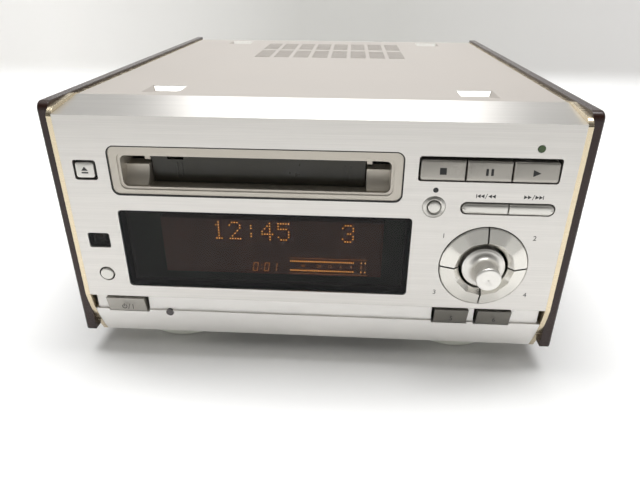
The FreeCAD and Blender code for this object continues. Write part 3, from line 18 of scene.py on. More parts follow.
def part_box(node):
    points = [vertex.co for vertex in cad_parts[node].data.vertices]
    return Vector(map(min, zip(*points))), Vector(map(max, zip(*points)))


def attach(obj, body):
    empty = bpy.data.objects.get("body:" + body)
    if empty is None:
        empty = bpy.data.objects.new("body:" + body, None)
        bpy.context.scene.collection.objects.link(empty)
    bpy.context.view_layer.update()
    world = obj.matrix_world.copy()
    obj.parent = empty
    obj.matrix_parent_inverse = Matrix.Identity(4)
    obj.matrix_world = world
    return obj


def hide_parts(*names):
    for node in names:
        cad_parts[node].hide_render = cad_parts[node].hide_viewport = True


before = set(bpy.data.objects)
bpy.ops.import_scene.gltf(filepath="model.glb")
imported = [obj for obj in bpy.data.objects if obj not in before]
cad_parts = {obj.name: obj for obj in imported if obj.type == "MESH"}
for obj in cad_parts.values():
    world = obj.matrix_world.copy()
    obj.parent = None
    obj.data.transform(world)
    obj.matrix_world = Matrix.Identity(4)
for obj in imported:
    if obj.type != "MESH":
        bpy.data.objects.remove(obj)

logging.basicConfig(level=logging.INFO, format="%(message)s")
LOG = logging.getLogger("deck")

Point2 = tuple[float, float]
Colour = tuple[float, float, float]
FACE_ORIGIN = Vector((0.0, -101.75, 29.0))
FACING_FRONT = Matrix.Rotation(math.radians(90), 3, "X")
FACING_REAR = Matrix.Rotation(math.radians(-90), 3, "X")
FACING_DOWN = Matrix.Rotation(math.pi, 3, "X")
ROOT = "deck"


def face_point(x: float, y: float, z: float) -> Vector:
    """Turn a place on the front face into the deck's frame.

    Args:
        x: Millimetres to the right of the middle.
        y: Millimetres behind the flat face.
        z: Millimetres above the flat face's lower edge.

    Returns:
        The same place in metres.
    """
    return (Vector((x, y, z)) + FACE_ORIGIN) / 1000


def linked(name: str, data: bpy.types.ID) -> bpy.types.Object:
    """Make an object and put it in the scene.

    Args:
        name: The object's name.
        data: Its mesh, curve, lamp or camera.

    Returns:
        The object.
    """
    made = bpy.data.objects.new(name, data)
    bpy.context.scene.collection.objects.link(made)
    return made


def plain_mesh(holder: bpy.types.Object) -> bpy.types.Mesh:
    """Return what an object in the scene evaluates to, as a plain mesh."""
    bpy.context.view_layer.update()
    return bpy.data.meshes.new_from_object(holder.evaluated_get(bpy.context.evaluated_depsgraph_get()))


# Node trees


class Tree:
    """A short way to add nodes to a shader, world or geometry tree and to join them."""

    def __init__(self, tree: bpy.types.NodeTree) -> None:
        """Keep the tree that this helper works on.

        Args:
            tree: The tree to fill.
        """
        self.tree = tree

    def add(self, kind: str, inputs: dict[str | int, Any] | None = None, **settings: Any) -> bpy.types.Node:
        """Add one node and fill its sockets.

        Args:
            kind: The node's type name.
            inputs: A value, or a socket to join, for each input's name or number.
            **settings: Properties of the node.

        Returns:
            The new node.
        """
        node = self.tree.nodes.new(kind)
        for name, value in settings.items():
            setattr(node, name, value)
        for name, value in (inputs or {}).items():
            if isinstance(value, bpy.types.NodeSocket):
                self.tree.links.new(value, node.inputs[name])
            else:
                node.inputs[name].default_value = value
        return node

    def maths(self, operation: str, *values: Any) -> bpy.types.NodeSocket:
        """Add a Math node and return its result.

        Args:
            operation: The Math node's operation.
            *values: Its operands, numbers or sockets.

        Returns:
            The result's socket.
        """
        node = self.add("ShaderNodeMath", dict(enumerate(values)), operation=operation)
        return node.outputs[0]

    def span(self, value: Any, low: float, high: float, start: float = 0.0, end: float = 1.0) -> Any:
        """Map a value from one range to another, held at its ends.

        Args:
            value: The socket to map.
            low: The value that becomes start.
            high: The value that becomes end.
            start: The lowest result.
            end: The highest result.

        Returns:
            The result's socket.
        """
        return self.add("ShaderNodeMapRange", {0: value, 1: low, 2: high, 3: start, 4: end}).outputs[0]

    def mix(self, share: Any, first: Any, second: Any, blend: str = "MIX") -> bpy.types.NodeSocket:
        """Mix two colours.

        Args:
            share: How much of the second colour shows.
            first: The first colour or socket.
            second: The second colour or socket.
            blend: The blend type.

        Returns:
            The mixed colour's socket.
        """
        node = self.add("ShaderNodeMix", {0: share, 6: rgba(first), 7: rgba(second)}, data_type="RGBA",
                        blend_type=blend)
        return node.outputs[2]

    def toned(self, colour: Colour, tone: Any, low: float, high: float, least: float, most: float) -> Any:
        """Darken and lighten a colour by a pattern.

        Args:
            colour: The colour.
            tone: The pattern's socket.
            low: The pattern's value where the colour is darkest.
            high: The pattern's value where it is lightest.
            least: The share of the colour that is left at low.
            most: The share at high.

        Returns:
            The toned colour's socket.
        """
        gain = self.span(tone, low, high, least, most)
        shade = self.add("ShaderNodeCombineColor", {0: gain, 1: gain, 2: gain}).outputs[0]
        return self.mix(1.0, colour, shade, "MULTIPLY")

    def object_place(self, scale: Sequence[float] = (1, 1, 1)) -> bpy.types.NodeSocket:
        """Read object coordinates in millimetres.

        Args:
            scale: Cycles per millimetre along each axis.

        Returns:
            The vector's socket.
        """
        place = self.add("ShaderNodeTexCoord").outputs["Object"]
        per_metre = tuple(1000 * share for share in scale)
        return self.add("ShaderNodeMapping", {"Vector": place, "Scale": per_metre}).outputs[0]


def rgba(value: Any) -> Any:
    """Give a plain colour its fourth channel, and pass a socket through."""
    return value if isinstance(value, bpy.types.NodeSocket) else (*value[:3], 1.0)


def cleared(owner: bpy.types.Material | bpy.types.World) -> Tree:
    """Empty the node tree of a material or a world.

    Args:
        owner: What the tree belongs to.

    Returns:
        A helper for the empty tree.
    """
    owner.use_nodes = True
    owner.node_tree.nodes.clear()
    return Tree(owner.node_tree)


def new_group(name: str, inputs: dict[str, float]) -> tuple[Tree, bpy.types.Node]:
    """Start a shader node group.

    Args:
        name: The group's name.
        inputs: Each number input's name and default.

    Returns:
        The tree helper and the group's input node.
    """
    tree = bpy.data.node_groups.new(name, "ShaderNodeTree")
    for label, value in inputs.items():
        socket = tree.interface.new_socket(name=label, in_out="INPUT", socket_type="NodeSocketFloat")
        socket.default_value = value
    helper = Tree(tree)
    return helper, helper.add("NodeGroupInput")


def end_group(helper: Tree, results: dict[str, bpy.types.NodeSocket]) -> bpy.types.NodeTree:
    """Give a shader node group its outputs.

    Args:
        helper: The group's tree helper.
        results: Each output's name and the socket that feeds it.

    Returns:
        The group.
    """
    for label, result in results.items():
        kind = "NodeSocketVector" if result.type == "VECTOR" else "NodeSocketFloat"
        helper.tree.interface.new_socket(name=label, in_out="OUTPUT", socket_type=kind)
    helper.add("NodeGroupOutput", results)
    return helper.tree


class Effect(Enum):
    """The shared surface effects, each a node group made once."""

    BRUSHED = "brushed lines"
    GRAIN = "moulded grain"
    LACQUER = "lacquer ripple"
    EDGE = "softened edge"
    DUST = "settled dust"

    def tree(self) -> bpy.types.NodeTree:
        """Return this effect's node group, and make it the first time."""
        make = getattr(Effect, f"_make_{self.name.lower()}")
        return bpy.data.node_groups.get(self.value) or make(self.value)

    @staticmethod
    def _make_brushed(name: str) -> bpy.types.NodeTree:
        """Make fine lines that run along x and cross the rest of the surface.

        Args:
            name: The group's name.

        Returns:
            The group.
        """
        helper, given = new_group(name, {"Lines per mm": 2.5, "Length mm": 40.0})
        split = helper.add("ShaderNodeSeparateXYZ", {0: helper.object_place()})
        across = helper.maths("ADD", split.outputs[1], split.outputs[2])
        along = helper.maths("DIVIDE", split.outputs[0], given.outputs["Length mm"])
        place = helper.add("ShaderNodeCombineXYZ", {
            0: along, 1: helper.maths("MULTIPLY", across, given.outputs["Lines per mm"])}).outputs[0]
        fine = helper.add("ShaderNodeTexNoise", {"Vector": place, "Scale": 1.0, "Detail": 3.0,
                                                 "Roughness": 0.7})
        wide = helper.add("ShaderNodeTexNoise", {"Vector": place, "Scale": 0.23, "Detail": 1.0})
        tone = helper.maths("ADD", helper.maths("MULTIPLY", fine.outputs[0], 0.65),
                            helper.maths("MULTIPLY", wide.outputs[0], 0.35))
        return end_group(helper, {"Tone": tone, "Height": fine.outputs[0]})

    @staticmethod
    def _make_grain(name: str) -> bpy.types.NodeTree:
        """Make the fine spark-eroded grain of a moulding.

        Args:
            name: The group's name.

        Returns:
            The group.
        """
        helper, given = new_group(name, {"Cells per mm": 4.0})
        place = helper.object_place()
        cells = helper.add("ShaderNodeTexVoronoi", {"Vector": place, "Scale": given.outputs[0]})
        cloud = helper.add("ShaderNodeTexNoise", {"Vector": place, "Scale": 0.12, "Detail": 3.0})
        return end_group(helper, {"Tone": cloud.outputs[0], "Height": cells.outputs["Distance"]})

    @staticmethod
    def _make_lacquer(name: str) -> bpy.types.NodeTree:
        """Make the slight ripple and cloudiness of sprayed paint.

        Args:
            name: The group's name.

        Returns:
            The group.
        """
        helper, given = new_group(name, {"Ripples per mm": 1.2})
        place = helper.object_place()
        ripple = helper.add("ShaderNodeTexNoise", {"Vector": place, "Scale": given.outputs[0], "Detail": 2.0})
        cloud = helper.add("ShaderNodeTexNoise", {"Vector": place, "Scale": 0.035, "Detail": 4.0})
        fleck = helper.add("ShaderNodeTexNoise", {"Vector": place, "Scale": 9.0, "Detail": 1.0})
        tone = helper.maths("ADD", helper.maths("MULTIPLY", cloud.outputs[0], 0.6),
                            helper.maths("MULTIPLY", fleck.outputs[0], 0.4))
        return end_group(helper, {"Tone": tone, "Height": ripple.outputs[0]})

    @staticmethod
    def _make_edge(name: str) -> bpy.types.NodeTree:
        """Make a rounded normal at sharp edges, and a mask of where they are.

        Args:
            name: The group's name.

        Returns:
            The group.
        """
        helper, given = new_group(name, {"Radius mm": 0.2})
        radius = helper.maths("DIVIDE", given.outputs[0], 1000.0)
        soft = helper.add("ShaderNodeBevel", {"Radius": radius}, samples=6)
        flat = helper.add("ShaderNodeNewGeometry").outputs["Normal"]
        turn = helper.add("ShaderNodeVectorMath", {0: soft.outputs[0], 1: flat}, operation="DOT_PRODUCT")
        edge = helper.span(turn.outputs["Value"], 0.995, 0.80)
        return end_group(helper, {"Edge": edge, "Normal": soft.outputs[0]})

    @staticmethod
    def _make_dust(name: str) -> bpy.types.NodeTree:
        """Make a mask of specks that settle on upward faces.

        Args:
            name: The group's name.

        Returns:
            The group.
        """
        helper, given = new_group(name, {"Amount": 0.2})
        up = helper.add("ShaderNodeSeparateXYZ", {0: helper.add("ShaderNodeNewGeometry").outputs["Normal"]})
        facing = helper.span(up.outputs[2], 0.2, 0.9)
        speck = helper.add("ShaderNodeTexNoise", {"Vector": helper.object_place(), "Scale": 1.7,
                                                  "Detail": 6.0, "Roughness": 0.75})
        spots = helper.span(speck.outputs[0], 0.56, 0.72)
        dust = helper.maths("MULTIPLY", helper.maths("MULTIPLY", facing, spots), given.outputs[0])
        return end_group(helper, {"Dust": dust})


# Finishes

# The near-white of the painted highlight on sharp edges.
EDGE_HIGHLIGHT: Colour = (0.9, 0.9, 0.88)
DUST_COLOUR: Colour = (0.62, 0.60, 0.57)


@dataclass(frozen=True)
class Finish:
    """One surface finish and how its procedural material is built."""

    name: str
    colour: Colour
    metallic: float = 0.0
    roughness: float = 0.5
    coat: float = 0.0
    effect: Effect = Effect.GRAIN
    density: float = 4.0
    tone_spread: float = 0.06
    rough_spread: float = 0.08
    relief: float = 0.02
    edge: float = 0.2
    # edge_lift is the share of painted highlight on sharp edges.
    edge_lift: float = 0.15
    dust: float = 0.1
    specular: float = 0.5

    def material(self) -> bpy.types.Material:
        """Find this finish's material, or make it the first time.

        Returns:
            The material.
        """
        found = bpy.data.materials.get(self.name)
        if found:
            return found
        made = bpy.data.materials.new(self.name)
        tree = cleared(made)
        tree.add("ShaderNodeOutputMaterial", {"Surface": self.shader(tree)})
        return made

    def shader(self, tree: Tree) -> bpy.types.NodeSocket:
        """Build the Principled shader and what feeds it.

        Args:
            tree: The material's tree.

        Returns:
            The shader's socket.
        """
        surface = tree.add("ShaderNodeGroup", {}, node_tree=self.effect.tree())
        surface.inputs[0].default_value = self.density
        edge = tree.add("ShaderNodeGroup", {}, node_tree=Effect.EDGE.tree())
        edge.inputs[0].default_value = self.edge
        dust = tree.add("ShaderNodeGroup", {}, node_tree=Effect.DUST.tree())
        dust.inputs[0].default_value = self.dust
        tone = surface.outputs["Tone"]
        toned = tree.toned(self.colour, tone, 0.25, 0.75, 1 - self.tone_spread, 1 + self.tone_spread)
        # Painted highlight: sharp edges are mixed towards near-white.
        lift = tree.maths("MULTIPLY", edge.outputs["Edge"], self.edge_lift)
        edge_highlighted = tree.mix(lift, toned, EDGE_HIGHLIGHT)
        dusty = tree.mix(dust.outputs[0], edge_highlighted, DUST_COLOUR)
        rough = tree.span(tone, 0.25, 0.75, max(self.roughness - self.rough_spread, 0.02),
                          self.roughness + self.rough_spread)
        matt = tree.maths("ADD", rough, tree.maths("MULTIPLY", dust.outputs[0], 0.4))
        bump = tree.add("ShaderNodeBump", {"Strength": self.relief * 10, "Distance": 0.00002,
                                           "Height": surface.outputs["Height"],
                                           "Normal": edge.outputs["Normal"]})
        shader = tree.add("ShaderNodeBsdfPrincipled", {
            "Base Color": dusty, "Metallic": self.metallic, "Roughness": matt, "Normal": bump.outputs[0],
            "Coat Weight": self.coat, "Coat Roughness": 0.08, "Specular IOR Level": self.specular})
        return shader.outputs[0]


@dataclass(frozen=True)
class SmokedGlass(Finish):
    """Tinted clear plastic that a display shines through."""

    wipe_spread: float = 0.02
    index: float = 1.25

    def shader(self, tree: Tree) -> bpy.types.NodeSocket:
        """Build a transmitting shader with faint wipe marks in its gloss.

        Args:
            tree: The material's tree.

        Returns:
            The shader's socket.
        """
        wipe = tree.add("ShaderNodeTexNoise", {"Vector": tree.object_place((0.02, 0.3, 0.3)),
                                               "Scale": 1.0, "Detail": 4.0})
        rough = tree.span(wipe.outputs[0], 0.3, 0.7, self.roughness, self.roughness + self.wipe_spread)
        cloud = tree.add("ShaderNodeTexNoise", {"Vector": tree.object_place((0.05, 0.05, 0.05)),
                                                "Scale": 1.0})
        colour = tree.toned(self.colour, cloud.outputs[0], 0.3, 0.7, 0.96, 1.04)
        return tree.add("ShaderNodeBsdfPrincipled", {
            "Base Color": colour, "Roughness": rough, "Transmission Weight": 1.0,
            "IOR": self.index}).outputs[0]


@dataclass(frozen=True)
class Glow(Finish):
    """A mark that gives its own light, slightly uneven from dot to dot."""

    strength: float = 3.0

    def shader(self, tree: Tree) -> bpy.types.NodeSocket:
        """Build an emitting shader.

        Args:
            tree: The material's tree.

        Returns:
            The shader's socket.
        """
        noise = tree.add("ShaderNodeTexNoise", {"Vector": tree.object_place((1.1, 1.1, 1.1)),
                                                "Scale": 1.0, "Detail": 2.0})
        colour = tree.toned(self.colour, noise.outputs[0], 0.3, 0.7, 0.75, 1.1)
        return tree.add("ShaderNodeBsdfPrincipled", {
            "Base Color": colour, "Roughness": self.roughness, "Emission Color": colour,
            "Emission Strength": self.strength}).outputs[0]


FACE = Finish("brushed silver", (0.64, 0.62, 0.59), 0.9, 0.34, effect=Effect.BRUSHED, density=2.2,
              tone_spread=0.10, rough_spread=0.05, relief=0.05, edge=0.25, dust=0.04)
FASCIA = Finish("satin silver", (0.95, 0.93, 0.90), 0.5, 0.62, effect=Effect.LACQUER, density=1.5,
                tone_spread=0.03, relief=0.02, edge=0.2, dust=0.04)
COVER = Finish("beige lacquer", (0.455, 0.42, 0.385), 0.0, 0.55, specular=0.25, effect=Effect.LACQUER,
               density=1.6, tone_spread=0.05, relief=0.05, edge=0.3, dust=0.12)
PANEL = Finish("dark side lacquer", (0.028, 0.011, 0.008), 0.0, 0.26, coat=0.15, specular=0.35,
               effect=Effect.LACQUER, density=1.1, tone_spread=0.25, relief=0.05, edge=0.5, edge_lift=0.05,
               dust=0.05)
GOLD = Finish("champagne gold", (0.70, 0.60, 0.43), 0.9, 0.25, effect=Effect.BRUSHED, density=3.0,
              tone_spread=0.08, relief=0.03, edge=0.15, dust=0.03)
BEZEL = Finish("champagne satin", (0.56, 0.52, 0.455), 0.6, 0.38, effect=Effect.LACQUER, density=2.0,
               tone_spread=0.04, relief=0.02, edge=0.25, dust=0.05)
FLAP = Finish("olive flap", (0.030, 0.027, 0.018), 0.0, 0.34, coat=0.1, specular=0.4, density=3.0,
              tone_spread=0.15, relief=0.03, edge=0.2, edge_lift=0.06, dust=0.05)
PEWTER = Finish("pewter lacquer", (0.40, 0.38, 0.345), 0.85, 0.30, effect=Effect.LACQUER, density=3.0,
                tone_spread=0.05, relief=0.02, edge=0.3, dust=0.05)
DARK_PEWTER = replace(PEWTER, name="dark pewter lacquer", colour=(0.18, 0.172, 0.152), roughness=0.33)
SILVER = replace(PEWTER, name="silver lacquer", colour=(0.64, 0.625, 0.585), tone_spread=0.04, edge=0.25,
                 dust=0.04)
RING = Finish("ring satin", (0.72, 0.70, 0.65), 0.9, 0.22, effect=Effect.LACQUER, density=3.0,
              tone_spread=0.04, relief=0.015, edge=0.15, dust=0.03)
KNOB = Finish("turned satin", (0.80, 0.78, 0.74), 0.8, 0.34, effect=Effect.LACQUER, density=4.0,
              tone_spread=0.05, relief=0.02, edge=0.12, dust=0.03)
BLACK = Finish("black moulding", (0.012, 0.012, 0.012), 0.0, 0.55, tone_spread=0.2, relief=0.08, edge=0.2,
               edge_lift=0.04)
TUBE = Finish("tube glass", (0.34, 0.15, 0.10), 0.0, 0.12, coat=0.8, tone_spread=0.1, relief=0.0,
              edge=0.3)
FOOT = Finish("foot moulding", (0.86, 0.87, 0.79), 0.0, 0.45, tone_spread=0.05, relief=0.05, edge=0.4)
PAD = Finish("foot rubber", (0.035, 0.035, 0.035), 0.0, 0.8, tone_spread=0.2, relief=0.1, edge=0.3)
BOARD = Finish("circuit board", (0.030, 0.105, 0.045), 0.0, 0.35, coat=0.3, tone_spread=0.25, density=1.5,
               relief=0.05, edge=0.1)
ZINC = Finish("zinc sheet", (0.58, 0.57, 0.54), 0.95, 0.36, effect=Effect.LACQUER, density=0.8,
              tone_spread=0.10, rough_spread=0.12, relief=0.04, edge=0.15)
BRIGHT = Finish("bright steel", (0.70, 0.70, 0.69), 1.0, 0.18, effect=Effect.LACQUER, density=2.0,
                tone_spread=0.05, relief=0.02, edge=0.1)
ACETAL = Finish("white acetal", (0.76, 0.74, 0.68), 0.0, 0.4, tone_spread=0.04, relief=0.04, edge=0.15)
IRON = Finish("varnished iron", (0.10, 0.09, 0.075), 0.5, 0.45, tone_spread=0.3, relief=0.15, edge=0.3)
NICKEL = Finish("nickel shell", (0.62, 0.58, 0.50), 1.0, 0.22, effect=Effect.LACQUER, density=3.0, edge=0.15)
INK = Finish("dark print", (0.020, 0.020, 0.021), 0.0, 0.45, tone_spread=0.1, relief=0.0, edge=0.02,
             edge_lift=0.0, dust=0.0)
GREEN_LAMP = Glow("green lamp", (0.030, 0.060, 0.014), roughness=0.15, strength=0.35)
DARK_LAMP = Finish("dark lamp", (0.02, 0.008, 0.008), 0.0, 0.1, coat=1.0, relief=0.0, tone_spread=0.1,
                   edge=0.1)
AMBER = Glow("amber dots", (1.0, 0.47, 0.10), roughness=0.4, strength=3.4)
DIM_AMBER = Glow("dim amber lines", (0.9, 0.36, 0.10), roughness=0.4, strength=0.8)
SMOKE = SmokedGlass("smoked window", (0.25, 0.235, 0.225), roughness=0.006)
# The pale colour of the sheet under the vents is painted light against the shade there.
VENT_LIGHT_SHEET = Finish("vent light sheet", (0.74, 0.70, 0.65), 0.0, 0.6, tone_spread=0.05, relief=0.04)
WHITE_RING = Finish("white insulator", (0.72, 0.71, 0.68), 0.0, 0.4, tone_spread=0.03, relief=0.02)
RED_RING = replace(WHITE_RING, name="red insulator", colour=(0.42, 0.020, 0.018), tone_spread=0.05)

NODE_FINISHES: dict[str, Finish] = {
    "front_panel": FACE, "lower_fascia": FASCIA, "top_cover": COVER, "side_panel_left": PANEL,
    "side_panel_right": PANEL, "trim_plate_left": GOLD, "trim_plate_right": GOLD, "slot_bezel": BEZEL,
    "slot_flap": FLAP, "display_window": SMOKE, "ir_window": SMOKE, "display_tube": TUBE,
    "stop_button": PEWTER, "pause_button": PEWTER, "play_button": PEWTER, "skip_back_button": SILVER,
    "skip_forward_button": SILVER, "eject_button": SILVER, "input_button": SILVER, "record_button": SILVER,
    "record_ring": SILVER, "power_button": PEWTER, "lower_button_left": DARK_PEWTER,
    "lower_button_right": DARK_PEWTER, "ring_button_top_left": RING, "ring_button_top_right": RING,
    "ring_button_bottom_left": RING, "ring_button_bottom_right": RING, "jog_knob": KNOB,
    "play_lamp": GREEN_LAMP, "standby_lamp": DARK_LAMP, "front_subframe": BLACK, "tact_switches": BLACK,
    "optical_sockets": BLACK, "mains_inlet": BLACK, "front_circuit_board": BOARD, "main_circuit_board": BOARD,
    "jog_encoder": BLACK, "loading_gear": ACETAL, "motor_pinion": ACETAL, "pickup_sled": ACETAL,
    "base_chassis": ZINC, "rear_panel": ZINC, "mechanism_chassis": ZINC, "slide_plate": ZINC,
    "cartridge_holder": ZINC, "loading_motor": BRIGHT, "spindle_motor": BRIGHT, "sled_motor": BRIGHT,
    "turntable": BRIGHT, "guide_rods": BRIGHT, "lead_screw": BRIGHT, "flap_pin": BRIGHT,
    "flap_spring": BRIGHT, "jog_plunger": BRIGHT, "panel_screws": BRIGHT, "line_jacks": NICKEL,
    "transformer": IRON, "feet": FOOT, "foot_pads": PAD,
}


# Mesh helpers

NUMERAL_SHARE = 0.7  # the height of a numeral as a share of the letter size


def add_piece(name: str, mesh: bpy.types.Mesh, body: str, finish: Finish, replaces: Iterable[str] = (),
              smooth: float = 0.0) -> bpy.types.Object:
    """Link a finished mesh as a piece that rides on a body.

    Args:
        name: The piece's name.
        mesh: Its mesh, in metres in the deck's frame.
        body: The body that it rides on.
        finish: Its finish.
        replaces: The nodes that it stands for.
        smooth: The angle in degrees up to which its faces are shaded as one curve.

    Returns:
        The object.
    """
    if smooth:
        mesh.polygons.foreach_set("use_smooth", [True] * len(mesh.polygons))
        mesh.set_sharp_from_angle(angle=math.radians(smooth))
    mesh.materials.clear()
    mesh.materials.append(finish.material())
    piece = linked(name, mesh)
    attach(piece, body)
    if replaces:
        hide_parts(*replaces)
    LOG.info("%s rides on %s, %d faces", name, body, len(mesh.polygons))
    return piece


def disc_outline(x: float, z: float, radius: float, count: int = 32) -> list[Point2]:
    """Return the outline of a disc."""
    return [(x + radius * math.cos(math.tau * i / count), z + radius * math.sin(math.tau * i / count))
            for i in range(count)]


def bar_outline(left: float, right: float, low: float, high: float) -> list[Point2]:
    """Return the outline of an upright rectangle."""
    return [(left, low), (right, low), (right, high), (left, high)]


def arc_outline(x: float, z: float, inner: float, outer: float, start: float, end: float) -> list[Point2]:
    """Return the outline of a part of a ring.

    Args:
        x: The ring's middle.
        z: The ring's middle.
        inner: Its inner radius.
        outer: Its outer radius.
        start: Its first angle in degrees.
        end: Its last angle in degrees.

    Returns:
        The outline's points.
    """
    steps = [math.radians(start + (end - start) * i / 32) for i in range(33)]
    return ([(x + outer * math.cos(a), z + outer * math.sin(a)) for a in steps]
            + [(x + inner * math.cos(a), z + inner * math.sin(a)) for a in reversed(steps)])


def lofted(rings: Sequence[Sequence[Vector]], hollow: bool = False) -> bpy.types.Mesh:
    """Join rings of points one to the next, and close both ends or join the last ring to the first.

    Args:
        rings: Rings with as many points each, in metres.
        hollow: Whether the last ring joins the first, as in a frame or a tube.

    Returns:
        The mesh.
    """
    form = bmesh.new()
    loops = [[form.verts.new(point) for point in ring] for ring in rings]
    bridge(form, loops, hollow)
    if not hollow:
        form.faces.new(loops[0][::-1])
        form.faces.new(loops[-1])
    return finished(form, "lofted")


def bridge(form: bmesh.types.BMesh, loops: Sequence[list[bmesh.types.BMVert]], hollow: bool = False) -> None:
    """Join loops of corners one to the next with four-sided faces.

    Args:
        form: The form that they belong to.
        loops: Loops with as many corners each.
        hollow: Whether the last loop also joins the first.
    """
    count = len(loops[0])
    for one, two in zip(loops, [*loops[1:], *loops[:1]] if hollow else loops[1:]):
        for i in range(count):
            j = (i + 1) % count
            form.faces.new((one[i], one[j], two[j], two[i]))


def finished(form: bmesh.types.BMesh, name: str, outward: bool = True) -> bpy.types.Mesh:
    """Make a mesh from a form.

    Args:
        form: The form, which is used up.
        name: The mesh's name.
        outward: Whether its faces are turned outwards first.

    Returns:
        The mesh.
    """
    if outward:
        bmesh.ops.recalc_face_normals(form, faces=form.faces)
    mesh = bpy.data.meshes.new(name)
    form.to_mesh(mesh)
    form.free()
    return mesh


def joined(meshes: Iterable[bpy.types.Mesh], name: str) -> bpy.types.Mesh:
    """Put several meshes into one.

    Args:
        meshes: The meshes, which are used up.
        name: The new mesh's name.

    Returns:
        The joined mesh.
    """
    form = bmesh.new()
    for mesh in meshes:
        form.from_mesh(mesh)
        bpy.data.meshes.remove(mesh)
    return finished(form, name, False)


def printed(outlines: Iterable[list[Point2]], surface: float | Callable[[float], float],
            thickness: float = 0.03) -> bpy.types.Mesh:
    """Make thin flat shapes that face the front.

    Args:
        outlines: Each shape's points in the face's plane.
        surface: The depth of the surface that they lie on, or that depth for each height.
        thickness: How far they stand off it and reach into it.

    Returns:
        The mesh.
    """
    depth = surface if callable(surface) else lambda height: surface
    shapes = [lofted([[face_point(x, depth(z) + reach, z) for x, z in outline]
                      for reach in (-thickness, thickness)]) for outline in outlines]
    return joined(shapes, "printed")


def framed(outer: Sequence[Point2], inner: Sequence[Point2], surface: float,
           thickness: float = 0.03) -> bpy.types.Mesh:
    """Make a thin flat frame that faces the front.

    Args:
        outer: Its outer outline in the face's plane.
        inner: Its inner outline, with as many points.
        surface: The depth of the surface that it lies on.
        thickness: How far it stands off it and reaches into it.

    Returns:
        The mesh.
    """
    levels = ((outer, -thickness), (inner, -thickness), (inner, thickness), (outer, thickness))
    return lofted([[face_point(x, surface + reach, z) for x, z in outline]
                   for outline, reach in levels], True)


def lettered(text: str, height: float, middle: Vector, thickness: float = 0.03) -> bpy.types.Mesh:
    """Make a thin numeral that faces the front.

    Args:
        text: What it shows.
        height: Its height in millimetres.
        middle: Its middle, in metres.
        thickness: How far it stands off the surface, in millimetres.

    Returns:
        The mesh.
    """
    curve = bpy.data.curves.new("sign", "FONT")
    curve.body = text
    curve.size = height / 1000 / NUMERAL_SHARE
    curve.extrude = thickness / 1000
    curve.align_x = "CENTER"
    curve.align_y = "CENTER"
    curve.resolution_u = 3
    holder = linked("sign", curve)
    mesh = plain_mesh(holder)
    bpy.data.objects.remove(holder)
    bpy.data.curves.remove(curve)
    mesh.transform(Matrix.Translation(middle) @ FACING_FRONT.to_4x4())
    return mesh


def turned(profile: Sequence[Point2], centre: Vector, axis: Matrix, count: int = 48,
           hollow: bool = False) -> bpy.types.Mesh:
    """Turn a profile about an axis and close it at both ends, or onto itself.

    Args:
        profile: Points as (distance along the axis, radius), in millimetres, from the back to the front.
        centre: Where distance 0 lies, in metres.
        axis: A rotation that takes +Z to the axis.
        count: How many flats go round.
        hollow: Whether the profile is a closed loop, as of a ring.

    Returns:
        The mesh.
    """
    ways = [math.tau * i / count for i in range(count)]
    rings = [[centre + axis @ Vector((radius * math.cos(way), radius * math.sin(way), along)) / 1000
              for way in ways] for along, radius in profile]
    return lofted(rings, hollow)


def rounded_box(sides: Point2, ends: Point2, radii: Point2, steps: int = 6) -> list[Point2]:
    """Return a box with rounded corners, the two on the left and the two on the right each alike.

    Args:
        sides: Its left and right.
        ends: Its foot and head.
        radii: The radius of its left corners and of its right ones.
        steps: How many flats make a corner.

    Returns:
        The outline's points, always as many for the same steps.
    """
    left, right = sides
    low, high = ends
    near, far = (min(radius, (high - low) / 2, right - left) for radius in radii)
    corners = ((right - far, low + far, far, -90), (right - far, high - far, far, 0),
               (left + near, high - near, near, 90), (left + near, low + near, near, 180))
    return [(x + radius * math.cos(math.radians(start + 90 * i / steps)),
             z + radius * math.sin(math.radians(start + 90 * i / steps)))
            for x, z, radius, start in corners for i in range(steps + 1)]


def halved(form: bmesh.types.BMesh, point: Vector, away: Vector) -> None:
    """Cut off what lies on one side of a plane and close the cut.

    Args:
        form: The closed form to cut.
        point: A point of the plane, in metres.
        away: The way to the side that goes.
    """
    bmesh.ops.bisect_plane(form, geom=form.verts[:] + form.edges[:] + form.faces[:], plane_co=point,
                           plane_no=away, clear_outer=True)
    bmesh.ops.holes_fill(form, edges=[edge for edge in form.edges if edge.is_boundary], sides=0)


def stem_of(node: str, level: float) -> bpy.types.Mesh:
    """Copy the part of a button's solid that lies behind a depth.

    Args:
        node: The button's node.
        level: The depth behind the face.

    Returns:
        The mesh.
    """
    form = bmesh.new()
    form.from_mesh(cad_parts[node].data)
    bmesh.ops.remove_doubles(form, verts=form.verts, dist=1e-6)
    halved(form, face_point(0, level, 0), Vector((0, -1, 0)))
    return finished(form, "stem", False)


# Geometry Nodes


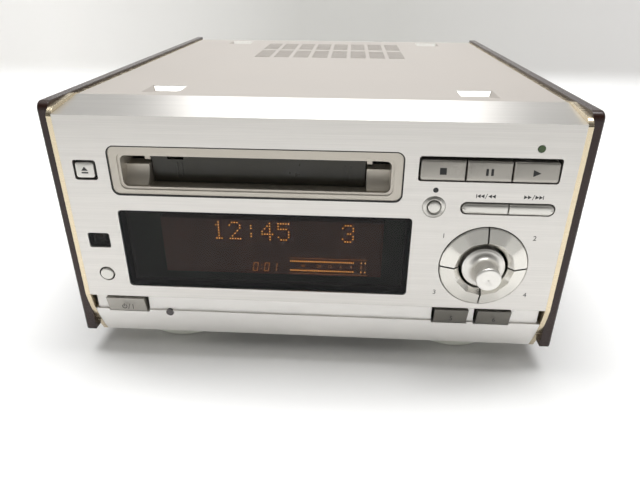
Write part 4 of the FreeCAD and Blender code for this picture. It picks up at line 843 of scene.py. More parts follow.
class Scatter:
    """A geometry tree that puts one small template on every point and makes it solid."""

    TREE = "template on points"
    INPUTS = {"Points": "Geometry", "Template": "Object", "Size": "Float", "Turn": "Float", "Spread": "Float",
              "Seed": "Int", "Finish": "Material"}

    @classmethod
    def tree(cls) -> bpy.types.NodeTree:
        """Find the tree, or make it the first time.

        Returns:
            The tree.
        """
        found = bpy.data.node_groups.get(cls.TREE)
        if found:
            return found
        tree = bpy.data.node_groups.new(cls.TREE, "GeometryNodeTree")
        for label, kind in cls.INPUTS.items():
            tree.interface.new_socket(name=label, in_out="INPUT", socket_type=f"NodeSocket{kind}")
        tree.interface.new_socket(name="Solid", in_out="OUTPUT", socket_type="NodeSocketGeometry")
        helper = Tree(tree)
        given = helper.add("NodeGroupInput").outputs
        template = helper.add("GeometryNodeObjectInfo", {"Object": given["Template"]})
        spin = helper.add("FunctionNodeRandomValue", {2: helper.maths("MULTIPLY", given["Spread"], -1.0),
                                                      3: given["Spread"], "Seed": given["Seed"]})
        angle = helper.maths("ADD", spin.outputs[1], given["Turn"])
        turn = helper.add("ShaderNodeCombineXYZ", {2: angle})
        size = helper.add("ShaderNodeCombineXYZ", {0: given["Size"], 1: given["Size"], 2: given["Size"]})
        points = helper.add("GeometryNodeMeshToPoints", {"Mesh": given["Points"]})
        placed = helper.add("GeometryNodeInstanceOnPoints", {
            "Points": points.outputs[0], "Instance": template.outputs["Geometry"], "Scale": size.outputs[0]})
        turned_round = helper.add("GeometryNodeRotateInstances", {"Instances": placed.outputs[0],
                                                                  "Rotation": turn.outputs[0]})
        solid = helper.add("GeometryNodeRealizeInstances", {"Geometry": turned_round.outputs[0]})
        dressed = helper.add("GeometryNodeSetMaterial", {"Geometry": solid.outputs[0],
                                                         "Material": given["Finish"]})
        helper.add("NodeGroupOutput", {0: dressed.outputs[0]})
        return tree

    @classmethod
    def mesh(cls, name: str, places: Sequence[Vector], template: bpy.types.Mesh, facing: Matrix,
             finish: Finish, spread: float = 0.0, seed: int = 3) -> bpy.types.Mesh:
        """Put a template on places that all face one way.

        Args:
            name: The new mesh's name.
            places: Where the copies go, in metres.
            template: The shape, in metres about its own origin, facing +Z.
            facing: A rotation from +Z to the way that the copies face.
            finish: Their finish.
            spread: How far each one is turned at random, in radians either way.
            seed: The seed of those turns.

        Returns:
            A plain mesh.
        """
        cloud = bpy.data.meshes.new("places")
        back = facing.inverted()
        cloud.from_pydata([back @ place for place in places], [], [])
        holder = linked("places", cloud)
        shape = linked("template", template)
        maker = holder.modifiers.new("scatter", "NODES")
        maker.node_group = cls.tree()
        given = {"Template": shape, "Size": 1.0, "Turn": 0.0, "Spread": spread, "Seed": seed,
                 "Finish": finish.material()}
        for item in cls.tree().interface.items_tree:
            if item.in_out == "INPUT" and item.name in given:
                maker[item.identifier] = given[item.name]
        mesh = plain_mesh(holder)
        holder.modifiers.remove(maker)
        for item in (holder, shape):
            bpy.data.objects.remove(item)
        mesh.transform(facing.to_4x4())
        mesh.name = name
        return mesh


def small_block(width: float, height: float, depth: float) -> bpy.types.Mesh:
    """Make a small block that faces +Z, with its back at the origin.

    Args:
        width: Its size along x in millimetres.
        height: Its size along y in millimetres.
        depth: Its size along z in millimetres.

    Returns:
        The mesh.
    """
    form = bmesh.new()
    bmesh.ops.create_cube(form, size=1.0)
    bmesh.ops.scale(form, vec=(width / 1000, height / 1000, depth / 1000), verts=form.verts)
    bmesh.ops.translate(form, vec=(0, 0, depth / 2000), verts=form.verts)
    return finished(form, "block", False)


def cross_screw(radius: float, height: float, slot: float) -> bpy.types.Mesh:
    """Make a domed screw head with a cross recess, facing +Z.

    Args:
        radius: The head's radius in millimetres.
        height: Its height in millimetres.
        slot: The recess's half width in millimetres.

    Returns:
        The mesh.
    """
    count = 24
    ways = [math.tau * i / count for i in range(count)]
    dome = ((1.0, 0.0), (1.0, 0.45), (0.93, 0.78), (0.78, 0.95), (0.66, 1.0))
    form = bmesh.new()
    rings = [[form.verts.new(Vector((radius * share * math.cos(way), radius * share * math.sin(way),
                                     height * lift)) / 1000) for way in ways] for share, lift in dome]
    bridge(form, rings)
    form.faces.new(rings[0][::-1])
    reach, side = radius * 0.52, slot * 0.8
    quarter = [(slot, -slot), (reach, -side), (reach, side)]
    corners = [*quarter, *[(-y, x) for x, y in quarter], *[(-x, -y) for x, y in quarter],
               *[(y, -x) for x, y in quarter]]
    rim, floor = ([form.verts.new(Vector((x * share, y * share, level)) / 1000) for x, y in corners]
                  for share, level in ((1.0, height), (0.55, height * 0.25)))
    bridge(form, [rim, floor])
    form.faces.new(floor)
    borders = [form.edges.get((loop[i], loop[(i + 1) % len(loop)])) for loop in (rings[-1], rim)
               for i in range(len(loop))]
    bmesh.ops.triangle_fill(form, use_beauty=True, edges=borders)
    return finished(form, "screw")


# Sub-assemblies


@dataclass
class Casework:
    """The nodes that keep their own meshes: each gets its finish."""

    finishes: dict[str, Finish] = field(default_factory=lambda: dict(NODE_FINISHES))

    def dress(self) -> None:
        """Give every node its material."""
        for name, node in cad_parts.items():
            finish = self.finishes.get(name)
            if finish is None:
                LOG.warning("node %s has no finish", name)
                continue
            node.data.materials.clear()
            node.data.materials.append(finish.material())
        LOG.info("casework: %d nodes dressed", len(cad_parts))


@dataclass(frozen=True)
class Course:
    """One outline of a cap: how far in it is, and how deep it lies at its foot and at its head."""

    sides: Point2
    ends: Point2
    depth: Point2


@dataclass
class Keys:
    """Caps that stand for the plain solids of the push buttons: leaning keys, bars and small domes."""

    joint: float = 3.0
    key_low: float = 51.9
    key_high: float = 58.9
    key_width: float = 15.2
    key_pitch: float = 15.6
    key_left: float = 36.7
    key_radius: float = 0.9
    inner_radius: float = 0.12
    key_foot_front: float = -1.00
    key_head_front: float = -0.16
    key_bevels: Point2 = (1.25, 0.70)
    bar_room: float = 0.3
    bar_box: tuple[float, float, float, float] = (51.9, 84.15, 39.5, 43.85)
    bar_split: float = 68.2
    bar_gap: float = 0.15
    eject_box: tuple[float, float, float, float] = (-84.1, -77.5, 49.45, 55.05)
    eject_radius: float = 0.9
    domes: dict[str, tuple[float, float, float, float]] = field(default_factory=lambda: {
        "record_button": (42.6, 41.8, 2.2, 0.9), "input_button": (-80.2, 10.0, 2.5, 0.6)})

    def build(self) -> None:
        """Make every cap."""
        self.leaning_keys()
        self.skip_bars()
        self.eject_cap()
        self.small_domes()

    def back(self) -> Course:
        """Return the outline at which a cap meets what is left of its button's solid."""
        return Course((0, 0), (0, 0), (self.joint, self.joint))

    def key_middle(self, index: int) -> float:
        """Return the middle of the stop, pause or play key."""
        return self.key_left + self.key_width / 2 + self.key_pitch * index

    def leaning_keys(self) -> None:
        """Make the stop, pause and play keys, whose faces lean back towards their heads."""
        foot, head = self.key_bevels
        courses = (self.back(),
                   Course((0, 0), (0, 0), (-0.30, 0.30)),
                   Course((0.10, 0.10), (0.15, 0.12), (-0.50, 0.06)),
                   Course((0.28, 0.28), (0.95, 0.34), (-0.98, -0.10)),
                   Course((0.55, 0.55), (foot, head), (self.key_foot_front, self.key_head_front)))
        for index, name in enumerate(("stop_button", "pause_button", "play_button")):
            left = self.key_left + self.key_pitch * index
            radii = (self.key_radius if index == 0 else self.inner_radius,
                     self.key_radius if index == 2 else self.inner_radius)
            self.cap(name, (left, left + self.key_width, self.key_low, self.key_high), radii, courses, PEWTER)

    def skip_bars(self) -> None:
        """Make the two halves of the skip bar, rounded over and round at their outer ends."""
        left, right, low, high = self.bar_box
        room = self.bar_room
        bow = (high - low) / 2 - room
        crown = ((0.0, 0.10), (0.10, 0.42), (0.38, 0.72), (0.85, 0.92), (1.35, 1.0))
        near = (left + room, self.bar_split - self.bar_gap)
        far = (self.bar_split + self.bar_gap, right - room)
        for name, sides, radii, shares in (("skip_back_button", near, (bow, 0.08), (1, 0.15)),
                                           ("skip_forward_button", far, (0.08, bow), (0.15, 1))):
            courses = [self.back()]
            courses += [Course((shares[0] * step, shares[1] * step), (step, step), (-depth, -depth))
                        for step, depth in crown]
            self.cap(name, (*sides, low + room, high - room), radii, courses, SILVER)

    def eject_cap(self) -> None:
        """Make the eject button's square cap."""
        slopes = ((0.0, 0.05, -0.05), (0.12, 0.28, 0.12), (0.42, 0.48, 0.22), (0.9, 0.52, 0.30))
        courses = [self.back()]
        courses += [Course((step, step), (step, step), (-foot, -head)) for step, foot, head in slopes]
        self.cap("eject_button", self.eject_box, (self.eject_radius, self.eject_radius), courses, SILVER)

    def small_domes(self) -> None:
        """Make the round caps of the record and input buttons."""
        for name, (x, z, radius, proud) in self.domes.items():
            profile = [(-self.joint, radius), (proud * 0.45, radius), (proud * 0.72, radius * 0.95),
                       (proud * 0.88, radius * 0.83), (proud * 0.97, radius * 0.6), (proud, radius * 0.3)]
            dome = turned(profile, face_point(x, 0, z), FACING_FRONT, 40)
            mesh = joined([dome, stem_of(name, self.joint)], name)
            add_piece(f"{name}_cap", mesh, name, SILVER, (name,), 50.0)

    def key_face(self, height: float) -> float:
        """Find how deep a leaning key's face lies.

        Args:
            height: A height on the key.

        Returns:
            The depth of its face there.
        """
        foot, head = self.key_low + self.key_bevels[0], self.key_high - self.key_bevels[1]
        share = (height - foot) / (head - foot)
        return self.key_foot_front + (self.key_head_front - self.key_foot_front) * share

    def cap(self, name: str, box: tuple[float, float, float, float], radii: Point2,
            courses: Sequence[Course], finish: Finish) -> None:
        """Make one cap from its courses and stand it in for its node.

        Args:
            name: The node and the body.
            box: The cap's left, right, foot and head.
            radii: The radius of its left corners and of its right ones.
            courses: Its outlines from the back to the front.
            finish: Its finish.
        """
        left, right, low, high = box
        rings = []
        for course in courses:
            inset = max(course.sides + course.ends) * 0.5
            outline = rounded_box((left + course.sides[0], right - course.sides[1]),
                                  (low + course.ends[0], high - course.ends[1]),
                                  tuple(max(radius - inset, 0.06) for radius in radii))
            foot, head = course.depth
            rings.append([face_point(x, foot + (head - foot) * (z - low) / (high - low), z)
                          for x, z in outline])
        mesh = joined([lofted(rings), stem_of(name, self.joint)], name)
        add_piece(f"{name}_cap", mesh, name, finish, (name,), 24.0)


@dataclass
class JogRing:
    """The four quarters of the ring, each with three flat facets outside a ridge and a cone inside it."""

    x: float = 62.8
    z: float = 18.5
    inner: float = 8.9
    ridge: float = 11.0
    outer: float = 15.9
    ridge_front: float = -2.3
    inner_front: float = -0.7
    slope: float = 0.347
    facet: float = 30.0
    split: float = 0.3
    edge: Point2 = (0.3, 0.22)
    lip: float = 0.2
    joint: float = 3.0

    def build(self) -> None:
        """Make the four quarters."""
        for name, turn in (("top_right", 0), ("top_left", 90), ("bottom_left", 180), ("bottom_right", 270)):
            node = f"ring_button_{name}"
            mesh = joined([self.quarter(turn), stem_of(node, self.joint)], node)
            add_piece(f"{node}_cap", mesh, node, RING, (node,), 6.0)

    def section(self, angle: float) -> list[Vector]:
        """Return the ring's section at an angle, from its inner wall round its front to its outer wall.

        Args:
            angle: Degrees from +x towards +z.

        Returns:
            The points in metres.
        """
        middle = (angle // self.facet + 0.5) * self.facet
        off = math.cos(math.radians(angle - middle))
        chord = self.ridge * math.cos(math.radians(self.facet / 2))
        rim = self.outer - self.edge[0]
        points = [(self.inner, self.joint), (self.inner, self.inner_front + self.lip),
                  (self.inner + self.lip, self.inner_front), (chord / off, self.ridge_front),
                  (rim, self.ridge_front + self.slope * (rim * off - chord)),
                  (self.outer, self.ridge_front + self.slope * (self.outer * off - chord) + self.edge[1]),
                  (self.outer, self.joint)]
        way = math.radians(angle)
        return [face_point(self.x + radius * math.cos(way), depth, self.z + radius * math.sin(way))
                for radius, depth in points]

    def quarter(self, turn: float) -> bpy.types.Mesh:
        """Make one quarter.

        Args:
            turn: Degrees from the right end of the top right quarter to its own first end.

        Returns:
            The mesh.
        """
        angles = [turn + step - 0.001 * (step in (30, 60, 90)) for step in range(-5, 100, 5)]
        angles = sorted(angles + [turn + step + 0.001 for step in (0, 30, 60, 90)])
        form = bmesh.new()
        form.from_mesh(lofted([self.section(angle) for angle in angles]))
        centre = face_point(self.x, 0, self.z)
        for angle, side in ((turn, -1), (turn + 90, 1)):
            way = math.radians(angle + 90)
            away = Vector((math.cos(way), 0, math.sin(way))) * side
            halved(form, centre - away * self.split / 1000, away)
        bmesh.ops.remove_doubles(form, verts=form.verts, dist=2e-6)
        return finished(form, "quarter")


@dataclass
class Marks:
    """Signs printed on the face and on the caps."""

    keys: Keys
    cap_size: float = 2.3
    key_height: float = 55.2
    eject_x: float = -80.8
    record_dot: tuple[float, float, float] = (42.6, 48.1, 0.95)
    skip_x: Point2 = (60.1, 76.1)
    skip_height: float = 46.3
    standby_x: float = -75.9
    low_front: float = 0.26
    low_height: float = -5.2
    numeral: float = 1.9
    ring_labels: dict[str, Point2] = field(default_factory=lambda: {
        "1": (47.2, 30.6), "2": (79.4, 30.6), "3": (46.2, 6.8), "4": (80.0, 6.8)})
    low_labels: tuple[tuple[str, str, float], ...] = (("lower_button_left", "5", 53.9),
                                                      ("lower_button_right", "6", 70.3))

    def build(self) -> None:
        """Make every printed sign."""
        self.key_signs()
        self.eject_sign()
        dot = disc_outline(*self.record_dot)
        back, forward = (self.skip_sign(x, way) for x, way in zip(self.skip_x, (-1, 1)))
        add_piece("face_signs", printed([dot, *back, *forward], 0.0), ROOT, INK)
        self.standby_sign()
        signs = [lettered(text, self.numeral, face_point(x, 0.0, z))
                 for text, (x, z) in self.ring_labels.items()]
        add_piece("ring_numerals", joined(signs, "ring numerals"), ROOT, INK)
        for name, text, x in self.low_labels:
            mesh = lettered(text, self.numeral, face_point(x, self.low_front, self.low_height))
            add_piece(f"{name}_numeral", mesh, name, INK)

    def key_signs(self) -> None:
        """Print a square, two bars and an arrow on the stop, pause and play keys."""
        stop, pause, play = (self.keys.key_middle(index) for index in range(3))
        size, middle = self.cap_size / 2, self.key_height
        square = bar_outline(stop - size, stop + size, middle - size, middle + size)
        bars = [bar_outline(x - 0.42, x + 0.42, middle - size, middle + size)
                for x in (pause - 0.85, pause + 0.85)]
        arrow = [(play - 1.2, middle - size), (play + 1.4, middle), (play - 1.2, middle + size)]
        for name, outlines in (("stop", [square]), ("pause", bars), ("play", [arrow])):
            add_piece(f"{name}_sign", printed(outlines, self.keys.key_face), f"{name}_button", INK)

    def eject_sign(self) -> None:
        """Print a triangle over a bar on the eject button's leaning face."""
        x, low = self.eject_x, self.keys.eject_box[2]
        lean = (self.keys.eject_box[3] - low) / 0.22
        outlines = [[(x - 1.2, 52.1), (x + 1.2, 52.1), (x, 53.6)], bar_outline(x - 1.2, x + 1.2, 51.1, 51.65)]
        add_piece("eject_sign", printed(outlines, lambda height: -0.52 + (height - low) / lean),
                  "eject_button", INK)

    def standby_sign(self) -> None:
        """Print an open ring with a stroke, a slash and a bar on the power button."""
        x, z = self.standby_x, self.low_height
        outlines = [arc_outline(x, z, 0.75, 1.0, 120, 420), bar_outline(x - 0.12, x + 0.12, z + 0.1, z + 1.3),
                    [(x + 1.3, z - 1.2), (x + 1.55, z - 1.2), (x + 2.35, z + 1.3), (x + 2.1, z + 1.3)],
                    bar_outline(x + 3.3, x + 3.55, z - 1.1, z + 1.2)]
        add_piece("standby_sign", printed(outlines, self.low_front), "power_button", INK)

    def skip_sign(self, x: float, way: int) -> list[list[Point2]]:
        """Make a pair of double arrows with a stroke between them.

        Args:
            x: The sign's middle.
            way: -1 for back and 1 for forward.

        Returns:
            The outlines.
        """
        z, tall, long = self.skip_height, 0.72, 1.25
        shapes = []
        for start in (0.65, 1.95):
            for side in (-1, 1):
                left = start if side == 1 else -start - long
                ends = (left, left + long) if way == 1 else (left + long, left)
                shapes.append([(x + ends[0], z - tall), (x + ends[1], z), (x + ends[0], z + tall)])
        shapes.append([(x - 0.42, z - 0.95), (x - 0.2, z - 0.95), (x + 0.42, z + 0.95), (x + 0.2, z + 0.95)])
        stop = x + way * 3.35
        shapes.append(bar_outline(stop - 0.13, stop + 0.13, z - tall, z + tall))
        return shapes


# Each character's rows of five dots, from the top, as bits. The small digits are strokes lettered a to f.
GLYPHS = {
    "1": (4, 12, 4, 4, 4, 4, 14), "2": (14, 17, 1, 2, 4, 8, 31), "3": (14, 17, 1, 6, 1, 17, 14),
    "4": (2, 6, 10, 18, 31, 2, 2), "5": (31, 16, 30, 1, 1, 17, 14), ":": (0, 4, 4, 0, 4, 4, 0),
}
SEGMENTS = {"0": "abcdef", "1": "bc"}


@dataclass
class Display:
    """The lit signs behind the window and the inside of the tube."""

    depth: float = 5.38
    dot: float = 0.42
    pitch_x: float = 0.98
    pitch_z: float = 1.12
    clock_left: float = -38.5
    clock_low: float = 24.0
    advance: float = 6.15
    track_left: float = 10.3
    meter_left: float = -8.9
    meter_pitch: float = 0.775
    meter_dots: tuple[int, ...] = (*range(32), 35, 37)
    meter_rows: Point2 = (11.6, 15.6)
    meter_block: Point2 = (0.32, 0.55)
    line_ends: Point2 = (-9.6, 20.6)
    line_gap: float = 1.35
    block_depth: float = 0.05
    counter: tuple[str, float, float] = ("0:01", -24.0, 10.7)
    scale_size: float = 1.15
    scale: dict[str, float] = field(default_factory=lambda: {
        "40": -4.2, "20": 2.0, "12": 6.2, "6": 10.4, "4": 14.4, "0": 18.2})

    def build(self) -> None:
        """Make the lit dots, the small digits and the fine lines."""
        dots = self.text_dots("12:45", self.clock_left) + self.text_dots("3", self.track_left)
        block = small_block(self.dot, self.dot * 1.05, self.block_depth)
        add_piece("display_dots", Scatter.mesh("dots", dots, block, FACING_FRONT, AMBER), ROOT, AMBER)
        places = [face_point(self.meter_left + self.meter_pitch * i, self.depth, z)
                  for z in self.meter_rows for i in self.meter_dots]
        block = small_block(*self.meter_block, self.block_depth)
        add_piece("level_dots", Scatter.mesh("meter", places, block, FACING_FRONT, AMBER), ROOT, AMBER)
        add_piece("small_digits", printed(self.segments(*self.counter), self.depth), ROOT, DIM_AMBER)
        low, high = self.meter_rows
        lines = [bar_outline(*self.line_ends, z - 0.07, z + 0.07)
                 for z in (low - self.line_gap, high + self.line_gap)]
        add_piece("meter_lines", printed(lines, self.depth), ROOT, DIM_AMBER)
        scale = [lettered(text, self.scale_size, face_point(x, self.depth, (low + high) / 2))
                 for text, x in self.scale.items()]
        add_piece("meter_scale", joined(scale, "meter scale"), ROOT, DIM_AMBER)

    def text_dots(self, text: str, left: float) -> list[Vector]:
        """Return the places of a text's dots.

        Args:
            text: Characters that GLYPHS holds.
            left: The first character's left edge.

        Returns:
            One place for each lit dot.
        """
        places = []
        for index, letter in enumerate(text):
            for row, bits in enumerate(GLYPHS[letter]):
                height = self.clock_low + (6.5 - row) * self.pitch_z
                for column in range(5):
                    if bits >> (4 - column) & 1:
                        x = left + index * self.advance + (column + 0.5) * self.pitch_x
                        places.append(face_point(x, self.depth, height))
        return places

    def segments(self, text: str, left: float, low: float) -> list[list[Point2]]:
        """Return the strokes of small slanting digits.

        Args:
            text: Digits that SEGMENTS holds, and colons.
            left: The first digit's left edge.
            low: The digits' foot.

        Returns:
            The strokes' outlines.
        """
        wide, tall, thick, lean = 2.0, 3.9, 0.36, 0.16
        shapes = []
        x = left
        for letter in text:
            if letter == ":":
                boxes = [(0.1, 0.45, 0.9, 1.25), (0.1, 0.45, 2.6, 2.95)]
                step = 1.3
            else:
                high, low_end = (tall / 2 + 0.15, tall - 0.2), (0.2, tall / 2 - 0.15)
                flat, near, far = (0.2, wide - 0.2), (0, thick), (wide - thick, wide)
                parts = {"a": (*flat, tall - thick, tall), "b": (*far, *high), "c": (*far, *low_end),
                         "d": (*flat, 0, thick), "e": (*near, *low_end), "f": (*near, *high)}
                boxes = [parts[key] for key in SEGMENTS[letter]]
                step = 3.05
            for x0, x1, z0, z1 in boxes:
                shapes.append([(x + x0 + z0 * lean, low + z0), (x + x1 + z0 * lean, low + z0),
                               (x + x1 + z1 * lean, low + z1), (x + x0 + z1 * lean, low + z1)])
            x += step
        return shapes


@dataclass
class Trim:
    """Small pieces on the casework: a painted shadow round the bezel, ribs, a sheet of painted light under
    the vents, wedges of painted highlight in the dimples and what the sockets hold.
    """

    # A black frame of painted shadow in the gap round the slot bezel.
    gap_shadow_box: tuple[float, float, float, float] = (-71.9, 30.9, 43.5, 61.0)
    gap_shadow_width: float = 0.45
    gap_shadow_radii: Point2 = (2.5, 2.9)
    dimple_depth: float = 1.79
    dimple_x: float = 60.0
    dimple_backs: Point2 = (37.1, 194.1)
    # The wedges are a painted highlight in the dimples.
    highlight_wedge: tuple[tuple[float, float, float], ...] = ((0.0, 0.0, 5.4), (1.4, 0.0, 5.4), (2.85, 1.76, 6.8))
    rib: tuple[float, float, float] = (0.45, 5.6, 0.22)
    rib_inset: Point2 = (6.3, 10.1)
    rib_pitch: float = 1.7
    rib_rise: float = 4.7
    vents: tuple[float, float, float, float] = (-44.0, 44.0, 121.0, 196.0)
    # Where the sheet of painted light lies under the vents.
    light_sheet_depth: float = 0.55
    liner_sheet: float = 0.25
    light_sheet_radius: float = 4.0
    jack_xs: Point2 = (-0.074, -0.058)
    jack_rows: tuple[tuple[str, float, Finish], ...] = (("upper", 0.053, WHITE_RING),
                                                        ("lower", 0.037, RED_RING))
    rear_face: float = 0.10225
    ring_radii: Point2 = (4.30, 6.0)
    ring_height: float = 1.3
    ring_edge: float = 0.15
    pin_radius: float = 1.2
    pin_reach: float = 8.0
    pin_recess: float = 2.0
    pin_pitch: float = 8.6

    def build(self) -> None:
        """Make every piece."""
        self.seam_line()
        self.dimples()
        self.ribs()
        self.light_sheet()
        self.insulators()
        self.pins()

    def seam_line(self) -> None:
        """Draw a black frame round the slot bezel, painted shadow in the gap, wider at its foot than at its
        head.
        """
        left, right, low, high = self.gap_shadow_box
        inner = rounded_box((left, right), (low, high), (self.gap_shadow_radii[0],) * 2)
        outer = rounded_box((left - self.gap_shadow_width, right + self.gap_shadow_width),
                            (low - self.gap_shadow_width * 1.3, high + self.gap_shadow_width * 0.6), (self.gap_shadow_radii[1],) * 2)
        add_piece("bezel_seam", framed(outer, inner, 0.0), ROOT, BLACK)

    def dimples(self) -> None:
        """Lay a polished wedge along the rear edge of each of the cover's four dimples, a painted highlight
        where the dimples look bright.
        """
        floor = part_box("top_cover")[1].z * 1000 - FACE_ORIGIN.z - self.dimple_depth
        meshes = []
        for x in (-self.dimple_x, self.dimple_x):
            for y in self.dimple_backs:
                meshes.append(lofted([[face_point(x + side * half, y + run, floor + rise)
                                       for run, rise, half in self.highlight_wedge] for side in (-1, 1)]))
        add_piece("dimple_inserts", joined(meshes, "highlight_wedges"), ROOT, SILVER)

    def ribs(self) -> None:
        """Emboss a pair of short upright ribs near each end of the flap."""
        low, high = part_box("slot_flap")
        wide, tall, proud = self.rib
        middles = (low.x + self.rib_inset[1] / 1000, high.x - self.rib_inset[0] / 1000)
        places = [Vector((x + side * self.rib_pitch / 2000, low.y, low.z + self.rib_rise / 1000))
                  for x in middles for side in (-1, 1)]
        mesh = Scatter.mesh("flap ribs", places, small_block(wide, tall, proud), FACING_FRONT, FLAP)
        add_piece("flap_ribs", mesh, "slot_flap", FLAP)

    def light_sheet(self) -> None:
        """Lay a thin pale sheet inside the cover's vents, painted light where the vents would show shade."""
        left, right, front, back = self.vents
        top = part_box("top_cover")[1].z * 1000 - FACE_ORIGIN.z - self.light_sheet_depth
        outline = rounded_box((left, right), (front, back), (self.light_sheet_radius,) * 2)
        rings = [[face_point(x, y, top - depth) for x, y in outline] for depth in (self.liner_sheet, 0.0)]
        add_piece("vent_liner", lofted(rings), ROOT, VENT_LIGHT_SHEET)

    def insulators(self) -> None:
        """Put a coloured ring round the foot of each jack's shell, one colour for each row."""
        inner, outer = self.ring_radii
        top, edge = self.ring_height, self.ring_edge
        profile = [(0, inner), (0, outer), (top - edge, outer), (top, outer - edge), (top, inner)]
        for name, z, finish in self.jack_rows:
            rings = [turned(profile, Vector((x, self.rear_face, z)), FACING_REAR, 40, True)
                     for x in self.jack_xs]
            add_piece(f"jack_insulators_{name}", joined(rings, name), ROOT, finish, smooth=40.0)

    def pins(self) -> None:
        """Put the two metal pins into the mains inlet."""
        low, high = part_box("mains_inlet")
        middle = (low + high) / 2
        tip = high.y - self.pin_recess / 1000
        reach, radius = self.pin_reach, self.pin_radius
        profile = [(-reach, radius), (-0.5, radius), (-0.12, radius * 0.85), (0.0, radius * 0.5)]
        centres = [Vector((middle.x + side * self.pin_pitch / 2000, tip, middle.z)) for side in (-1, 1)]
        pins = [turned(profile, centre, FACING_REAR, 24) for centre in centres]
        add_piece("inlet_pins", joined(pins, "pins"), ROOT, BRIGHT, smooth=40.0)


@dataclass
class Fixings:
    """Screws of the rear panel and the underside."""

    head: float = 2.9
    height: float = 1.5
    slot: float = 0.42
    floor_head: float = 2.4
    floor_height: float = 0.8
    floor_slot: float = 0.36
    floor_places: tuple[Point2, ...] = ((-82.0, 20.0), (82.0, 20.0), (-82.0, 110.0), (82.0, 110.0),
                                        (-82.0, 196.0), (82.0, 196.0), (-20.0, 60.0), (20.0, 150.0))
    turn: float = 1.4

    def build(self) -> None:
        """Make the screws of the underside and of the rear panel, which stand in for the plain ones."""
        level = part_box("base_chassis")[0].z
        places = [face_point(x, y, 0) for x, y in self.floor_places]
        for place in places:
            place.z = level
        screw = cross_screw(self.floor_head, self.floor_height, self.floor_slot)
        mesh = Scatter.mesh("floor screws", places, screw, FACING_DOWN, BRIGHT, self.turn, 5)
        add_piece("floor_screws", mesh, ROOT, BRIGHT)
        low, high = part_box("panel_screws")
        back = high.y - self.height / 1000
        inset = self.head / 1000
        places = [Vector((x, back, z)) for x in (low.x + inset, 0.0, high.x - inset)
                  for z in (low.z + inset, high.z - inset)]
        screw = cross_screw(self.head, self.height, self.slot)
        mesh = Scatter.mesh("rear screws", places, screw, FACING_REAR, BRIGHT, self.turn, 11)
        add_piece("rear_screw_heads", mesh, ROOT, BRIGHT, ("panel_screws",))


# Studio


@dataclass(frozen=True)
class Lamp:
    """One soft lamp: its place and target in metres, its size in metres and its power in watts."""

    name: str
    place: tuple[float, float, float]
    target: tuple[float, float, float]
    size: Point2
    power: float

    def hang(self) -> None:
        """Put the lamp in the scene."""
        light = bpy.data.lights.new(self.name, "AREA")
        light.shape = "RECTANGLE"
        light.size, light.size_y = self.size
        light.energy = self.power
        hung = linked(self.name, light)
        hung.location = self.place
        way = Vector(self.target) - Vector(self.place)
        hung.rotation_euler = way.to_track_quat("-Z", "Y").to_euler()


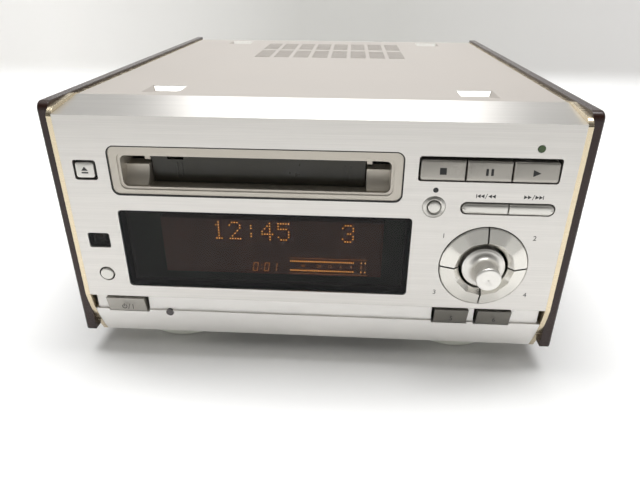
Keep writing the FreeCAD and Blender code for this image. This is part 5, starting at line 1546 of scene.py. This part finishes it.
@dataclass
class Studio:
    """The floor, the wall, the lamps, the world and the camera."""

    wall: float = 0.52
    cove: float = 0.03
    cove_steps: int = 12
    half_width: float = 2.2
    front: float = -2.2
    height: float = 0.22
    paper: Colour = (0.94, 0.94, 0.935)
    # Painted light and shade on the wall, from left to right.
    wall_left: Colour = (0.80, 0.79, 0.77)
    wall_shaded_middle: Colour = (0.50, 0.495, 0.475)
    wall_right: Colour = (0.62, 0.61, 0.60)
    glow: float = 0.3
    # The strength of the painted light on the floor beyond shade_reach from the deck.
    floor_painted_glow: float = 0.8
    shade_reach: Point2 = (125.0, 185.0)
    room: Colour = (0.50, 0.50, 0.495)
    dark: Colour = (0.06, 0.058, 0.052)
    lamps: tuple[Lamp, ...] = (
        Lamp("overhead", (0.0, 0.03, 1.20), (0.0, 0.0, 0.05), (1.2, 0.36), 13.0),
        Lamp("window", (-0.03, 1.02, 0.76), (0.0, 0.0, 0.08), (0.85, 0.40), 2.8))
    focal_length: float = 29.784
    eye: tuple[float, float, float] = (0.01210, -0.27516, 0.14355)
    look: tuple[float, float, float] = (63.3595, -0.3298, 3.3075)

    def build(self) -> None:
        """Set the whole studio up."""
        bpy.context.scene.view_settings.view_transform = "Standard"
        self.sweep()
        self.world()
        for lamp in self.lamps:
            lamp.hang()
        self.camera()

    def sweep(self) -> None:
        """Make the floor and the low wall as one sheet with a small cove between them."""
        profile = [(self.front, 0.0), (self.wall - self.cove, 0.0)]
        angles = [math.pi / 2 * i / self.cove_steps for i in range(1, self.cove_steps + 1)]
        profile += [(self.wall - self.cove + self.cove * math.sin(angle), self.cove * (1 - math.cos(angle)))
                    for angle in angles]
        profile.append((self.wall, self.height))
        mesh = bpy.data.meshes.new("sweep")
        points = [(x, y, z) for y, z in profile for x in (-self.half_width, self.half_width)]
        faces = [(2 * i, 2 * i + 1, 2 * i + 3, 2 * i + 2) for i in range(len(profile) - 1)]
        mesh.from_pydata(points, [], faces)
        mesh.polygons.foreach_set("use_smooth", [True] * len(faces))
        linked("sweep", mesh)
        mesh.materials.append(self.paper_material())

    def paper_material(self) -> bpy.types.Material:
        """Make pale paper that glows a little for the camera, with painted light and shade on its wall,
        lighter at the sides and greyer in the middle, and painted light on its floor away from the deck.

        Returns:
            The material.
        """
        paper = bpy.data.materials.new("pale paper")
        tree = cleared(paper)
        place = tree.object_place()
        along = tree.add("ShaderNodeSeparateXYZ", {0: place}).outputs
        rise = tree.span(along[2], 0.5, 24.0)
        # Painted light and shade: the wall is lighter at the left, greyer in the middle and lighter again at
        # the right.
        left = tree.mix(tree.span(along[0], -420.0, -60.0), self.wall_left, self.wall_shaded_middle)
        wall = tree.mix(tree.span(along[0], 60.0, 420.0), left, self.wall_right)
        colour = tree.mix(rise, self.paper, wall)
        matt = tree.add("ShaderNodeBsdfDiffuse", {"Color": colour})
        rays = tree.add("ShaderNodeLightPath").outputs
        seen = tree.maths("ADD", rays["Is Camera Ray"], tree.maths("ADD", rays["Is Glossy Ray"],
                                                                   rays["Is Transmission Ray"]))
        # Painted light on the floor: beyond shade_reach from the deck it glows for the camera, which fades
        # the deck's far shadow.
        far = tree.add("ShaderNodeVectorMath", {0: place}, operation="LENGTH").outputs["Value"]
        floor_painted_light = tree.maths("MULTIPLY", tree.span(far, *self.shade_reach), self.floor_painted_glow)
        share = tree.maths("MAXIMUM", rise, floor_painted_light)
        strength = tree.maths("MULTIPLY", tree.maths("MULTIPLY", seen, share), self.glow)
        glow = tree.add("ShaderNodeEmission", {"Color": colour, "Strength": strength})
        both = tree.add("ShaderNodeAddShader", {0: matt.outputs[0], 1: glow.outputs[0]})
        tree.add("ShaderNodeOutputMaterial", {"Surface": both.outputs[0]})
        return paper

    def world(self) -> None:
        """Make a pale room with a dark stretch above and behind the camera."""
        room = bpy.data.worlds.new("room")
        bpy.context.scene.world = room
        tree = cleared(room)
        sky = tree.add("ShaderNodeTexCoord").outputs["Generated"]
        way = tree.add("ShaderNodeSeparateXYZ", {0: sky}).outputs
        ahead = tree.span(way[1], -0.5, -0.1, 1.0, 0.0)
        band = tree.maths("MULTIPLY", tree.span(way[2], 0.25, 0.45), tree.span(way[2], 0.95, 0.8))
        colour = tree.mix(tree.maths("MULTIPLY", ahead, band), self.room, self.dark)
        ground = tree.add("ShaderNodeBackground", {"Color": colour, "Strength": 1.0})
        tree.add("ShaderNodeOutputWorld", {"Surface": ground.outputs[0]})

    def camera(self) -> None:
        """Place the camera as the photograph's."""
        lens = bpy.data.cameras.new("camera")
        lens.sensor_width = 36.0
        lens.lens = self.focal_length
        lens.clip_start = 0.01
        seat = linked("camera", lens)
        seat.location = self.eye
        seat.rotation_euler = tuple(math.radians(angle) for angle in self.look)
        bpy.context.scene.camera = seat


def main() -> None:
    """Dress the deck, add what the solids leave out, and set the studio up."""
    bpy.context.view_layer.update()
    Casework().dress()
    keys = Keys()
    keys.build()
    JogRing().build()
    Marks(keys).build()
    Display().build()
    Trim().build()
    Fixings().build()
    Studio().build()


if __name__ == "__main__":
    main()
